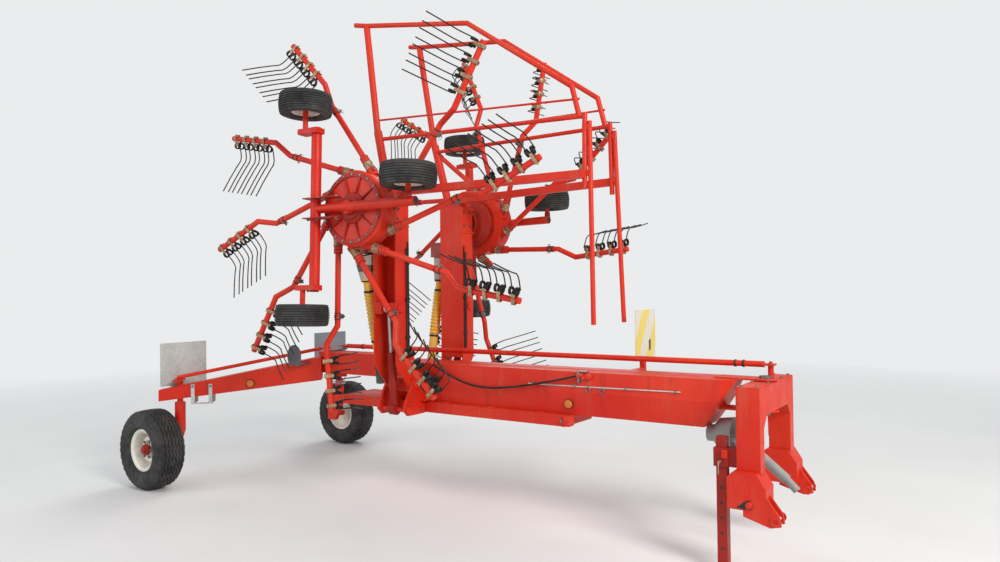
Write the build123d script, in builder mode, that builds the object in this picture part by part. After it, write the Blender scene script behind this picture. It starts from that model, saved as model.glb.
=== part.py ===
"""Twin-rotor rotary rake, folded up for the road and parked on its stand.

Frame: X forward, Y to the machine's left, Z up, origin on the ground below the middle of its
box, all sizes in millimetres. The right-hand pieces are modelled first, and the left-hand ones
are their mirror images. Each rotor head is modelled lying as it works, with its own origin on
the rotor's axis in the plane of the arms, and is then stood up beside the beam.
"""
import math
import os

from build123d import *

os.makedirs("parts", exist_ok=True)

# Driving sizes of the chassis
WHEEL_X = -2391.0
MAIN_TYRE_RADIUS = 345.0
MAIN_TYRE_WIDTH = 250.0
MAIN_RIM_RADIUS = 183.0
TRACK_HALF = 1150.0
BEAM_REAR_X = WHEEL_X + 1950.0
BEAM_FRONT_X = WHEEL_X + 4780.0
BEAM_TOP = 1108.0
BEAM_CREASE = 965.0
BEAM_BOTTOM = 800.0
BEAM_TOP_HALF = 150.0
BEAM_CREASE_HALF = 165.0
BEAM_BOTTOM_HALF = 140.0
BEAM_NOSE_SLOPE = 195.0
BEAM_NOSE_CHAMFER = 45.0
BACKBONE_HALF = 95.0
BACKBONE_TOP = 1150.0
BACKBONE_BOTTOM = 960.0
BACKBONE_REAR_X = WHEEL_X + 960.0
RAIL_REAR_X = WHEEL_X + 1366.0
RAIL_FRONT_X = WHEEL_X + 3590.0
RAIL_HALF = 195.0
RAIL_HEIGHT = 80.0
PLATE = 12.0
SEAT_GAP = 0.3
SIDE_CLEARANCE = 6.0
PIN_CLEARANCE = 0.5

# Driving sizes of the rear arms and their kingpins
ARM_END = (WHEEL_X - 20.0, -1060.0)
ARM_ROOT = (WHEEL_X + 1000.0, -98.0)
ARM_WIDTH = 110.0
KINGPIN = (WHEEL_X + 110.0, -950.0)
KINGPIN_RADIUS = 25.0
KNUCKLE_TOP = 735.0
KNUCKLE_BOTTOM = 480.0
KNUCKLE_RADIUS = 45.0
STUB_RADIUS = 28.0

# Driving sizes of the headstock
SWIVEL_X = WHEEL_X + 4934.0
SWIVEL_PIN_RADIUS = 25.0
HEAD_DEPTH = 138.0
HEAD_HALF = 402.0
HEAD_INNER = 315.0
HEAD_TOP = 1100.0
HEAD_UNDERSIDE = 930.0
HEAD_LEG_BOTTOM = 597.0
COLLAR_BOTTOM = 405.0
COLLAR_FRONT_X = SWIVEL_X + 110.0
COLLAR_INNER_Y = 293.0
HITCH_PIN_X = WHEEL_X + 5095.0
HITCH_PIN_Z = 367.0
HITCH_HOLE_RADIUS = 14.5
HITCH_EAR = 15.0
HITCH_GAP = 62.0
HITCH_Y = 412.0
STAND_X = WHEEL_X + 4770.0
STAND_Y = -360.0
STAND_SIDE = 60.0
STAND_TOP = 800.0

# Driving sizes of the drive input and of the shafts up the booms
INPUT_Z = 745.0
NOSE_X = BEAM_FRONT_X - BEAM_NOSE_SLOPE
DRIVE_X = WHEEL_X + 1950.0
DRIVE_CASE_REAR = WHEEL_X + 1880.0

# Driving sizes of the hose on the beam's side, and its route in X and Z from fitting to fitting
HOSE_RADIUS = 8.0
HOSE_FITTING_RADIUS = 12.0
HOSE_FITTING_LENGTH = 45.0
HOSE_Y = -192.0
HOSE_ROUTE = [
    (WHEEL_X + 2400, 1102.0),
    (WHEEL_X + 2520, 1046.0),
    (WHEEL_X + 2660, 990.0),
    (WHEEL_X + 2810, 957.0),
    (WHEEL_X + 2960, 951.0),
    (WHEEL_X + 3110, 966.0),
    (WHEEL_X + 3260, 989.0),
    (WHEEL_X + 3420, 1019.0),
    (WHEEL_X + 3570, 1052.0),
    (WHEEL_X + 3700, 1083.0),
]

# Driving sizes of the steering
STEER_ROD_Z = 1192.0
STEER_ROD_Y = 125.0
STEER_ROD_RADIUS = 20.0
STEER_PIN_RADIUS = 10.0
STEER_SLOT = 14.0
STEER_SWING = 17.0
LEVER_X = WHEEL_X + 1060.0
LEVER_REACH = 100.0
TIE_ROD_RADIUS = 16.0
TIE_EYE_RADIUS = 26.0
TIE_EYE_THICKNESS = 12.0
TIE_PIN_PLAY = 22.0
KNUCKLE_ARM = (82.0, -74.0)
KNUCKLE_ARM_Z = 930.0

# Driving sizes of a boom and its lift cylinder
FOLD_Y = -300.0
FOLD_Z = 950.0
FOLD_PIN_RADIUS = 25.0
BOOM_REAR_X = WHEEL_X + 2050.0
BOOM_WIDTH = 240.0
BOOM_INNER_Y = -345.0
BOOM_OUTER_Y = -500.0
BOOM_TOP = 2425.0
BOOM_FOOT_Z = 1060.0
BOOM_HEEL_Z = 1115.0
LIFT_FOOT = (-400.0, 760.0)
LIFT_EYE = (-450.0, 1560.0)
BARREL_RADIUS = 32.0
BARREL_LENGTH = 410.0
BARREL_BORE_FOOT = 60.0
LIFT_STROKE = 298.0
ROD_RADIUS = 17.5

# Driving sizes of a rotor head
ROTOR_CENTRE = (WHEEL_X + 2200.0, -800.0, 2309.0)
ROTOR_PITCH = 5.0
FOLD_OVER = 2.0
ARM_COUNT = 10
HUB_RADIUS = 285.0
HUB_BOTTOM = -70.0
HUB_TOP = 110.0
AXLE_RADIUS = 50.0
AXLE_CLEARANCE = 5.0
ARM_TUBE_RADIUS = 22.0
ARM_OFFSET = 240.0
ARM_HEIGHT = 46.0
ARM_REACH = 1516.0
ARM_TIP_SIDE = 248.0
JOG_START = 872.0
JOG_END = 1018.0
JOG_SIDE = 310.0
SLEEVE_RADIUS = 33.0
SLEEVE_LENGTH = 190.0
COIL_RADIUS = 27.0
COIL_LENGTH = 92.0
TINE_WIRE = 9.0
TINE_RISE = 135.0
TINE_END = 330.0
TINE_BEND = 58.0
TINE_END_GAP = 42.0
TINE_PAIR_PITCH = 112.0
TINE_HALF_PITCH = 32.0
TRUNNION_Z = 326.0
GUARD_Z = 440.0
GUARD_TUBE = 19.0
ROTOR_TYRE_RADIUS = 205.0
ROTOR_TYRE_WIDTH = 165.0
ROTOR_RIM_RADIUS = 105.0
RUNNER_Z = -150.0
AXLE_Z = -187.0
CROSS_TUBE_X = -290.0
CROSS_TUBE_RADIUS = 39.0
CROSS_TUBE_HALF = 580.0
LONG_TUBE_RADIUS = 34.0
LONG_TUBE_FRONT = 630.0

# Twist of each arm's tines about the arm's outer length, in degrees: the cam sets it lowest where
# the tines rake and lifts them as it grows. None is an empty socket.
RIGHT_TWISTS = [None, -23, -23, -23, 0, 19, 30, 36, 33, -3]
RIGHT_FIRST_ARM = -90.5
LEFT_TWISTS = [-23, -23, -23, None, 0, 19, 30, 36, 33, -3]
LEFT_FIRST_ARM = -70.0

# Wheels under a rotor head: place along, place across, and where its stub axle starts across
ROTOR_WHEELS = {
    "rear_outer": (-372.0, -CROSS_TUBE_HALF - 215.0, -CROSS_TUBE_HALF - 20.0),
    "rear_inner": (-372.0, CROSS_TUBE_HALF + 215.0, CROSS_TUBE_HALF + 20.0),
    "front": (LONG_TUBE_FRONT - 35.0, -174.0, -20.0),
}


def save(part, label):
    """Label a finished piece and write it as its own file."""
    part.label = label
    export_step(part, f"parts/{label}.step")


def mirrored(piece):
    """The left-hand twin of a right-hand piece."""
    with BuildPart() as twin:
        add(piece.part)
        mirror(about=Plane.XZ, mode=Mode.REPLACE)
    return twin


def save_pair(piece, label):
    """Write a right-hand piece and its left-hand twin."""
    save(piece.part, f"right_{label}")
    save(mirrored(piece).part, f"left_{label}")


def bar(start, end, radius):
    """A round bar or tube between two points."""
    axis = Vector(*end) - Vector(*start)
    with BuildPart() as piece:
        with BuildSketch(Plane(origin=start, z_dir=axis)):
            Circle(radius)
        extrude(amount=axis.length)
    return piece


def bent_bar(points, radius):
    """A round bar through a list of points, mitred at its bends."""
    with BuildPart() as piece:
        with BuildLine() as path:
            Polyline(*points)
        with BuildSketch(Plane(origin=path.line @ 0, z_dir=path.line % 0)):
            Circle(radius)
        sweep(transition=Transition.RIGHT)
    return piece


# Main beam: folded plate with a crease along each side, its nose cut back below, and hose fittings
HOSE = [Vector(x, HOSE_Y, z) for x, z in HOSE_ROUTE]
with BuildPart() as main_beam:
    with BuildSketch(Plane.YZ.offset(BEAM_REAR_X)):
        with BuildLine():
            Polyline(
                (-BEAM_TOP_HALF, BEAM_TOP),
                (-BEAM_CREASE_HALF, BEAM_CREASE),
                (-BEAM_BOTTOM_HALF, BEAM_BOTTOM),
                (BEAM_BOTTOM_HALF, BEAM_BOTTOM),
                (BEAM_CREASE_HALF, BEAM_CREASE),
                (BEAM_TOP_HALF, BEAM_TOP),
                close=True,
            )
        make_face()
    extrude(amount=BEAM_FRONT_X - BEAM_REAR_X)
    split(
        bisect_by=Plane(
            origin=(BEAM_FRONT_X, 0, BEAM_TOP),
            z_dir=(BEAM_TOP - BEAM_BOTTOM, 0, -BEAM_NOSE_SLOPE),
        ),
        keep=Keep.BOTTOM,
    )
    with BuildSketch(Plane.XY.offset(BEAM_BOTTOM)):
        for side in (-1, 1):
            with BuildLine():
                Polyline(
                    (BEAM_FRONT_X + 1, side * (BEAM_CREASE_HALF - 2 * BEAM_NOSE_CHAMFER)),
                    (BEAM_FRONT_X + 1, side * (BEAM_CREASE_HALF + 1)),
                    (BEAM_FRONT_X - 2 * BEAM_NOSE_CHAMFER, side * (BEAM_CREASE_HALF + 1)),
                    close=True,
                )
            make_face()
    extrude(amount=BEAM_TOP - BEAM_BOTTOM, mode=Mode.SUBTRACT)
    for low in (HEAD_UNDERSIDE - SIDE_CLEARANCE - PLATE, HEAD_TOP + SIDE_CLEARANCE):
        with BuildSketch(Plane.XY.offset(low)):
            with Locations((SWIVEL_X - 150, 0)):
                Rectangle(300, 150)
            with Locations((SWIVEL_X, 0)):
                Circle(75)
            with Locations((SWIVEL_X, 0)):
                Circle(SWIVEL_PIN_RADIUS, mode=Mode.SUBTRACT)
        extrude(amount=PLATE)
    for start, toward in ((HOSE[0], HOSE[1]), (HOSE[-1], HOSE[-2])):
        back = start + (start - toward).normalized() * HOSE_FITTING_LENGTH
        add(bar(start, back, HOSE_FITTING_RADIUS).part)
        with Locations((back.X, (HOSE_Y - BEAM_TOP_HALF) / 2 + HOSE_FITTING_RADIUS, back.Z - 20)):
            Box(24, -HOSE_Y - BEAM_TOP_HALF + 2 * HOSE_FITTING_RADIUS, 24)
save(main_beam.part, "main_beam")

# Hose that hangs beside the beam from one fitting to the other
turns = [(b - a).get_angle(c - b) for a, b, c in zip(HOSE, HOSE[1:], HOSE[2:])]
runs = [(b - a).length for a, b in zip(HOSE, HOSE[1:])]
bends = [0.45 * min(before, after) / math.tan(math.radians(turn / 2))
         for turn, before, after in zip(turns, runs, runs[1:])]
print("beam hose bend radii", [round(bend) for bend in bends])
with BuildPart() as beam_hose:
    with BuildLine() as hose_path:
        FilletPolyline(*HOSE, radius=bends)
    with BuildSketch(Plane(origin=hose_path.line @ 0, z_dir=hose_path.line % 0)):
        Circle(HOSE_RADIUS)
    sweep()
hose_length = sum(edge.length for edge in hose_path.line.edges())
print("beam hose length", round(hose_length))
print("beam hose volume share", beam_hose.part.volume / (math.pi * HOSE_RADIUS**2 * hose_length))
save(beam_hose.part, "beam_hose")

# Swivel pin through the two tongues at the beam's nose
PIN_LOW = HEAD_UNDERSIDE - SIDE_CLEARANCE - PLATE
with BuildPart() as swivel_pin:
    with BuildSketch(Plane.XY.offset(PIN_LOW - 25)):
        with Locations((SWIVEL_X, 0)):
            Circle(SWIVEL_PIN_RADIUS)
    extrude(amount=HEAD_TOP + SIDE_CLEARANCE + PLATE - PIN_LOW + 25)
    with BuildSketch(Plane.XY.offset(HEAD_TOP + SIDE_CLEARANCE + PLATE)):
        with Locations((SWIVEL_X, 0)):
            Circle(40)
    extrude(amount=14)
save(swivel_pin.part, "swivel_pin")

# Rear frame: backbone and the two tapered arms that carry the kingpins
arm_dir = Vector(ARM_ROOT[0] - ARM_END[0], ARM_ROOT[1] - ARM_END[1], 0)
with BuildPart() as rear_arm:
    for spot, low, high, width in (
        (ARM_END, 750.0, 848.0, ARM_WIDTH),
        (ARM_ROOT, 900.0, 1110.0, ARM_WIDTH * 1.5),
    ):
        plane = Plane(
            origin=(spot[0], spot[1], (low + high) / 2),
            x_dir=(arm_dir.Y, -arm_dir.X, 0),
            z_dir=arm_dir,
        )
        with BuildSketch(plane):
            Rectangle(width, high - low)
    loft()
    with BuildSketch(Plane.XY.offset(700)):
        with Locations(KINGPIN):
            Circle(KINGPIN_RADIUS + PIN_CLEARANCE)
    extrude(amount=300, mode=Mode.SUBTRACT)

with BuildPart() as rear_frame:
    add(rear_arm.part)
    add(mirrored(rear_arm).part)
    with Locations(((BACKBONE_REAR_X + BEAM_REAR_X) / 2, 0, (BACKBONE_TOP + BACKBONE_BOTTOM) / 2)):
        Box(BEAM_REAR_X - BACKBONE_REAR_X, 2 * BACKBONE_HALF, BACKBONE_TOP - BACKBONE_BOTTOM)
save(rear_frame.part, "rear_frame")

# Lower rail hung under the beam, with its end plate
with BuildPart() as lower_rail:
    rail_top = BEAM_BOTTOM - SEAT_GAP
    with Locations(((RAIL_REAR_X + RAIL_FRONT_X) / 2, 0, rail_top - RAIL_HEIGHT / 2)):
        Box(RAIL_FRONT_X - RAIL_REAR_X, 2 * RAIL_HALF, RAIL_HEIGHT)
    with Locations((RAIL_FRONT_X + PLATE / 2, 0, rail_top - RAIL_HEIGHT / 2)):
        Box(PLATE, 2 * RAIL_HALF + 30, RAIL_HEIGHT)
save(lower_rail.part, "lower_rail")


def beam_side(level):
    """Half the beam's width at a height, along its creased side."""
    if level > BEAM_CREASE:
        share = (level - BEAM_CREASE) / (BEAM_TOP - BEAM_CREASE)
        return BEAM_CREASE_HALF + share * (BEAM_TOP_HALF - BEAM_CREASE_HALF)
    share = (level - BEAM_BOTTOM) / (BEAM_CREASE - BEAM_BOTTOM)
    return BEAM_BOTTOM_HALF + share * (BEAM_CREASE_HALF - BEAM_BOTTOM_HALF)


# Boom bracket on the beam's side: two ears with the fold pin and the lift cylinder's foot pin
EAR_REAR_X = BOOM_REAR_X - SIDE_CLEARANCE - 20.0
EAR_FRONT_X = BOOM_REAR_X + BOOM_WIDTH + SIDE_CLEARANCE
with BuildPart() as boom_bracket:
    for ear_x in (EAR_REAR_X, EAR_FRONT_X):
        with BuildSketch(Plane.YZ.offset(ear_x)):
            with BuildLine():
                Polyline(
                    (-beam_side(1050) - SEAT_GAP, 1050),
                    (-beam_side(BEAM_CREASE) - SEAT_GAP, BEAM_CREASE),
                    (-beam_side(806) - SEAT_GAP, 806),
                    (-RAIL_HALF - SIDE_CLEARANCE, 806),
                    (-RAIL_HALF - SIDE_CLEARANCE, 715),
                    (LIFT_FOOT[0], 715),
                    (LIFT_FOOT[0] - 45, 760),
                    (LIFT_FOOT[0] - 30, 820),
                    (FOLD_Y - 60, FOLD_Z - 10),
                    (FOLD_Y - 30, FOLD_Z + 50),
                    close=True,
                )
            make_face()
        extrude(amount=20)
    for spot, radius in (((FOLD_Y, FOLD_Z), FOLD_PIN_RADIUS), (LIFT_FOOT, ROD_RADIUS)):
        with BuildSketch(Plane.YZ.offset(EAR_REAR_X - 15)):
            with Locations(spot):
                Circle(radius)
        extrude(amount=EAR_FRONT_X - EAR_REAR_X + 50)
save_pair(boom_bracket, "boom_bracket")

# Boom: channel open on its outer side, with a fold boss and the trunnion's two cross plates
with BuildPart() as boom:
    with BuildSketch(Plane.YZ.offset(BOOM_REAR_X)):
        with BuildLine():
            Polyline(
                (FOLD_Y + 50, FOLD_Z + 30),
                (BOOM_INNER_Y, BOOM_FOOT_Z + 40),
                (BOOM_INNER_Y, BOOM_TOP),
                (BOOM_OUTER_Y, BOOM_TOP),
                (BOOM_OUTER_Y, BOOM_HEEL_Z),
                (FOLD_Y - 50, FOLD_Z - 30),
                close=True,
            )
        make_face()
        with Locations((FOLD_Y, FOLD_Z)):
            Circle(58)
    extrude(amount=BOOM_WIDTH)
    with BuildSketch(Plane.YZ.offset(BOOM_REAR_X + PLATE)):
        with BuildLine():
            Polyline(
                (BOOM_INNER_Y - PLATE, BOOM_FOOT_Z + 60),
                (BOOM_INNER_Y - PLATE, BOOM_TOP + 1),
                (BOOM_OUTER_Y - 1, BOOM_TOP + 1),
                (BOOM_OUTER_Y - 1, FOLD_Z - 101),
                (FOLD_Y + 101, FOLD_Z - 101),
                (FOLD_Y + 101, BOOM_FOOT_Z - 50),
                close=True,
            )
        make_face()
    extrude(amount=BOOM_WIDTH - 2 * PLATE, mode=Mode.SUBTRACT)
    with BuildSketch(Plane.YZ.offset(BOOM_REAR_X)):
        with Locations((FOLD_Y, FOLD_Z)):
            Circle(58)
    extrude(amount=BOOM_WIDTH)
    with BuildSketch(Plane.YZ.offset(BOOM_REAR_X - 1)):
        with Locations((FOLD_Y, FOLD_Z)):
            Circle(FOLD_PIN_RADIUS + PIN_CLEARANCE)
    extrude(amount=BOOM_WIDTH + 2, mode=Mode.SUBTRACT)
    for level in (ROTOR_CENTRE[2] - 115, ROTOR_CENTRE[2] + 95):
        with BuildSketch(Plane.XY.offset(level)):
            with Locations((BOOM_REAR_X + BOOM_WIDTH / 2, (BOOM_INNER_Y + BOOM_OUTER_Y) / 2 - 15)):
                Rectangle(BOOM_WIDTH - 2, BOOM_INNER_Y - BOOM_OUTER_Y + 28)
        extrude(amount=20)
    for lug_x in (BOOM_REAR_X + PLATE, BOOM_REAR_X + BOOM_WIDTH - PLATE - 60):
        with BuildSketch(Plane.YZ.offset(lug_x)):
            with Locations((LIFT_EYE[0], LIFT_EYE[1])):
                Rectangle(90, 90)
        extrude(amount=60)
save_pair(boom, "boom")

# Lift cylinder: barrel on the bracket's foot pin, rod with its eye between the boom's lugs
LIFT_X = BOOM_REAR_X + BOOM_WIDTH / 2
lift_run = Vector(0, LIFT_EYE[0] - LIFT_FOOT[0], LIFT_EYE[1] - LIFT_FOOT[1])
foot_point = Vector(LIFT_X, *LIFT_FOOT)
eye_point = Vector(LIFT_X, *LIFT_EYE)
lift_unit = lift_run.normalized()
with BuildPart() as lift_barrel:
    with BuildSketch(Plane(origin=foot_point + lift_unit * 40, z_dir=lift_unit)):
        Circle(BARREL_RADIUS)
    extrude(amount=BARREL_LENGTH)
    with BuildSketch(Plane(origin=foot_point - Vector(30, 0, 0), x_dir=(0, 1, 0), z_dir=(1, 0, 0))):
        Circle(45)
        Circle(ROD_RADIUS + PIN_CLEARANCE, mode=Mode.SUBTRACT)
    extrude(amount=60)
    with BuildSketch(Plane(origin=foot_point + lift_unit * BARREL_BORE_FOOT, z_dir=lift_unit)):
        Circle(ROD_RADIUS + PIN_CLEARANCE)
    extrude(amount=BARREL_LENGTH, mode=Mode.SUBTRACT)
save_pair(lift_barrel, "lift_barrel")
ROD_START = BARREL_BORE_FOOT + LIFT_STROKE + SIDE_CLEARANCE
with BuildPart() as lift_rod:
    with BuildSketch(Plane(origin=foot_point + lift_unit * ROD_START, z_dir=lift_unit)):
        Circle(ROD_RADIUS)
    extrude(amount=lift_run.length - ROD_START - 25)
    with BuildSketch(Plane(origin=eye_point - Vector(25, 0, 0), x_dir=(0, 1, 0), z_dir=(1, 0, 0))):
        Circle(38)
        Circle(ROD_RADIUS, mode=Mode.SUBTRACT)
    extrude(amount=50)
save_pair(lift_rod, "lift_rod")

# Headstock: inverted U on the swivel pin, with a collar and a hitch yoke on each leg
with BuildPart() as headstock:
    with BuildSketch(Plane.YZ.offset(SWIVEL_X - HEAD_DEPTH / 2)):
        with BuildLine():
            Polyline(
                (-HEAD_HALF, HEAD_LEG_BOTTOM),
                (-HEAD_HALF, HEAD_TOP),
                (HEAD_HALF, HEAD_TOP),
                (HEAD_HALF, HEAD_LEG_BOTTOM),
                (HEAD_INNER, HEAD_LEG_BOTTOM),
                (HEAD_INNER, HEAD_UNDERSIDE - 70),
                (HEAD_INNER - 70, HEAD_UNDERSIDE),
                (70 - HEAD_INNER, HEAD_UNDERSIDE),
                (-HEAD_INNER, HEAD_UNDERSIDE - 70),
                (-HEAD_INNER, HEAD_LEG_BOTTOM),
                close=True,
            )
        make_face()
    extrude(amount=HEAD_DEPTH)
    with BuildSketch(Plane.XY.offset(HEAD_UNDERSIDE - 1)):
        with Locations((SWIVEL_X, 0)):
            Circle(SWIVEL_PIN_RADIUS + PIN_CLEARANCE)
    extrude(amount=HEAD_TOP - HEAD_UNDERSIDE + 2, mode=Mode.SUBTRACT)
    shoulder_top = STEER_ROD_Z - PLATE / 2 - SEAT_GAP
    for radius, top in ((STEER_PIN_RADIUS + 8, shoulder_top), (STEER_PIN_RADIUS, STEER_ROD_Z + 20)):
        with BuildSketch(Plane.XY.offset(HEAD_TOP - 5)):
            with Locations((SWIVEL_X, STEER_ROD_Y)):
                Circle(radius)
        extrude(amount=top - HEAD_TOP + 5)
save(headstock.part, "headstock")

# Hitch yokes: a collar under each leg of the headstock, with two ears and the hole for a hitch pin
COLLAR_OUTER_Y = HITCH_Y + HITCH_GAP / 2 + HITCH_EAR
with BuildPart() as hitch_yokes:
    for side in (-1, 1):
        with BuildSketch(Plane.XZ.offset(-max(side * COLLAR_INNER_Y, side * COLLAR_OUTER_Y))):
            with BuildLine():
                Polyline(
                    (SWIVEL_X - 112, COLLAR_BOTTOM),
                    (SWIVEL_X - 112, HEAD_LEG_BOTTOM - 10),
                    (SWIVEL_X - 80, HEAD_LEG_BOTTOM + 20),
                    (COLLAR_FRONT_X - 50, HEAD_LEG_BOTTOM + 20),
                    (COLLAR_FRONT_X, HEAD_LEG_BOTTOM - 60),
                    (COLLAR_FRONT_X, COLLAR_BOTTOM),
                    close=True,
                )
            make_face()
        extrude(amount=COLLAR_OUTER_Y - COLLAR_INNER_Y)
        for ear_y in (side * HITCH_Y - HITCH_GAP / 2 - HITCH_EAR, side * HITCH_Y + HITCH_GAP / 2):
            with BuildSketch(Plane.XZ.offset(-ear_y - HITCH_EAR)):
                with BuildLine():
                    Polyline(
                        (SWIVEL_X - 20, COLLAR_BOTTOM + 90),
                        (COLLAR_FRONT_X, COLLAR_BOTTOM + 90),
                        (HITCH_PIN_X + 20, HITCH_PIN_Z + 32),
                        (HITCH_PIN_X + 30, HITCH_PIN_Z - 25),
                        (HITCH_PIN_X - 30, HITCH_PIN_Z - 40),
                        (SWIVEL_X - 20, COLLAR_BOTTOM - 35),
                        close=True,
                    )
                make_face()
                with Locations((HITCH_PIN_X, HITCH_PIN_Z)):
                    Circle(HITCH_HOLE_RADIUS, mode=Mode.SUBTRACT)
            extrude(amount=HITCH_EAR)
        with Locations((SWIVEL_X, side * (HEAD_HALF + HEAD_INNER) / 2, HEAD_LEG_BOTTOM + 20)):
            Box(HEAD_DEPTH + 2 * SEAT_GAP, HEAD_HALF - HEAD_INNER + 2 * SEAT_GAP,
                40 + 2 * SEAT_GAP, mode=Mode.SUBTRACT)
save(hitch_yokes.part, "hitch_yokes")

# Parking stand: sleeve on the near leg and the tube that slides in it
SLEEVE_SIDE = STAND_SIDE + 2 * PLATE
with BuildPart() as stand_sleeve:
    with BuildSketch(Plane.XY.offset(HEAD_LEG_BOTTOM + 30)):
        with Locations((STAND_X, STAND_Y)):
            Rectangle(SLEEVE_SIDE, SLEEVE_SIDE)
        with Locations(((STAND_X + SWIVEL_X - HEAD_DEPTH / 2) / 2, STAND_Y)):
            Rectangle(SWIVEL_X - HEAD_DEPTH / 2 - STAND_X, 50)
        with Locations((STAND_X, STAND_Y)):
            Rectangle(STAND_SIDE + 2 * PIN_CLEARANCE, STAND_SIDE + 2 * PIN_CLEARANCE,
                      mode=Mode.SUBTRACT)
    extrude(amount=110)
save(stand_sleeve.part, "stand_sleeve")
with BuildPart() as stand_tube:
    with BuildSketch(Plane.XY):
        with Locations((STAND_X, STAND_Y)):
            Rectangle(150, 120)
    extrude(amount=10)
    with BuildSketch(Plane.XY.offset(10)):
        with Locations((STAND_X, STAND_Y)):
            Rectangle(STAND_SIDE, STAND_SIDE)
    extrude(amount=STAND_TOP - 10)
save(stand_tube.part, "stand_tube")

# Drive input: bell-shaped guard at the beam's nose and the shaft that hangs from it
with BuildPart() as input_guard:
    with BuildSketch(Plane.XZ):
        with BuildLine():
            Polyline(
                (NOSE_X - 20, INPUT_Z),
                (NOSE_X - 20, BEAM_BOTTOM - SEAT_GAP),
                (NOSE_X + 20, BEAM_BOTTOM - SEAT_GAP),
                (NOSE_X + 60, INPUT_Z + 100),
                (NOSE_X + 150, INPUT_Z + 112),
                (NOSE_X + 150, INPUT_Z + 106),
                (NOSE_X + 70, INPUT_Z + 60),
                (NOSE_X + 70, INPUT_Z),
                close=True,
            )
        make_face()
    revolve(axis=Axis((0, 0, INPUT_Z), (1, 0, 0)))
save(input_guard.part, "input_guard")
with BuildPart() as input_shaft:
    for start, end, radius in (
        ((NOSE_X + 70 + SEAT_GAP, 0, INPUT_Z), (NOSE_X + 200, 0, INPUT_Z), 24),
        ((NOSE_X + 190, 0, INPUT_Z - 18), (WHEEL_X + 5050, 0, 500), 32),
        ((WHEEL_X + 5045, 0, 506), (WHEEL_X + 5110, 0, 440), 24),
    ):
        add(bar(start, end, radius).part)
save(input_shaft.part, "input_shaft")

# Steering rod: round bar with a flat slotted eye over a pin at each end
LEVER_Z = BACKBONE_TOP + SIDE_CLEARANCE
with BuildPart() as steering_rod:
    add(bar((LEVER_X + 40, STEER_ROD_Y, STEER_ROD_Z), (SWIVEL_X - 40, STEER_ROD_Y, STEER_ROD_Z),
            STEER_ROD_RADIUS).part)
    with BuildSketch(Plane.XY.offset(STEER_ROD_Z - PLATE / 2)):
        for eye_x, inward in ((LEVER_X, 1), (SWIVEL_X, -1)):
            with Locations((eye_x + inward * 10, STEER_ROD_Y - STEER_SWING / 2)):
                Rectangle(80, STEER_SWING + 2 * STEER_SLOT + 24)
            with Locations((eye_x, STEER_ROD_Y - STEER_SWING / 2)):
                Rectangle(2 * STEER_SLOT, STEER_SWING + 2 * STEER_SLOT, mode=Mode.SUBTRACT)
    extrude(amount=PLATE)
save(steering_rod.part, "steering_rod")

# Steering lever: plate turning on the backbone, with the rod's pin and the tie rods' pin
with BuildPart() as steering_lever:
    with BuildSketch(Plane.XY.offset(LEVER_Z)):
        with Locations((LEVER_X, 0)):
            Circle(45)
        with BuildLine():
            Polyline(
                (LEVER_X - 40, 0),
                (LEVER_X - 22, STEER_ROD_Y + 20),
                (LEVER_X + 22, STEER_ROD_Y + 20),
                (LEVER_X + 40, 0),
                close=True,
            )
        make_face()
        with BuildLine():
            Polyline(
                (LEVER_X, -42),
                (LEVER_X - LEVER_REACH, -TIE_EYE_RADIUS),
                (LEVER_X - LEVER_REACH, TIE_EYE_RADIUS),
                (LEVER_X, 42),
                close=True,
            )
        make_face()
        with Locations((LEVER_X - LEVER_REACH, 0)):
            Circle(TIE_EYE_RADIUS)
    extrude(amount=PLATE)
    with BuildSketch(Plane.XY.offset(LEVER_Z + PLATE)):
        with Locations((LEVER_X, STEER_ROD_Y), (LEVER_X - LEVER_REACH, 0)):
            Circle(STEER_PIN_RADIUS)
    extrude(amount=STEER_ROD_Z + 15 - LEVER_Z - PLATE)
    with BuildSketch(Plane.XY.offset(LEVER_Z + PLATE)):
        with Locations((LEVER_X, STEER_ROD_Y)):
            Circle(STEER_PIN_RADIUS + 8)
    extrude(amount=shoulder_top - LEVER_Z - PLATE)
    with BuildSketch(Plane.XY.offset(BACKBONE_TOP)):
        with Locations((LEVER_X, 0)):
            Circle(35)
    extrude(amount=SIDE_CLEARANCE)
save(steering_lever.part, "steering_lever")


def tie_rod(side, eye_z):
    """A tie rod from the lever's rear pin to the knuckle's arm on one side, -1 for the right."""
    knuckle_end = Vector(KINGPIN[0] + KNUCKLE_ARM[0], -side * (KINGPIN[1] + KNUCKLE_ARM[1]), 0)
    lever_end = Vector(LEVER_X - LEVER_REACH, 0, 0)
    along = (lever_end - knuckle_end).normalized()
    eye_middle = Vector(0, 0, eye_z + TIE_EYE_THICKNESS / 2)
    low = Vector(0, 0, KNUCKLE_ARM_Z + PLATE + SIDE_CLEARANCE + TIE_ROD_RADIUS)
    with BuildPart() as rod:
        add(bar(knuckle_end + low, lever_end - along * (TIE_EYE_RADIUS + 22) + eye_middle,
                TIE_ROD_RADIUS).part)
        with BuildSketch(Plane(origin=lever_end + Vector(0, 0, eye_z), x_dir=along, z_dir=(0, 0, 1))):
            Circle(TIE_EYE_RADIUS)
            with Locations((-(TIE_EYE_RADIUS + 32) / 2, 0)):
                Rectangle(TIE_EYE_RADIUS + 32, 2 * TIE_ROD_RADIUS)
            Circle(STEER_PIN_RADIUS + PIN_CLEARANCE, mode=Mode.SUBTRACT)
        extrude(amount=TIE_EYE_THICKNESS)
        add(bar(knuckle_end + Vector(0, 0, KNUCKLE_ARM_Z - 8), knuckle_end + low,
                STEER_PIN_RADIUS).part)
    return rod


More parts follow.
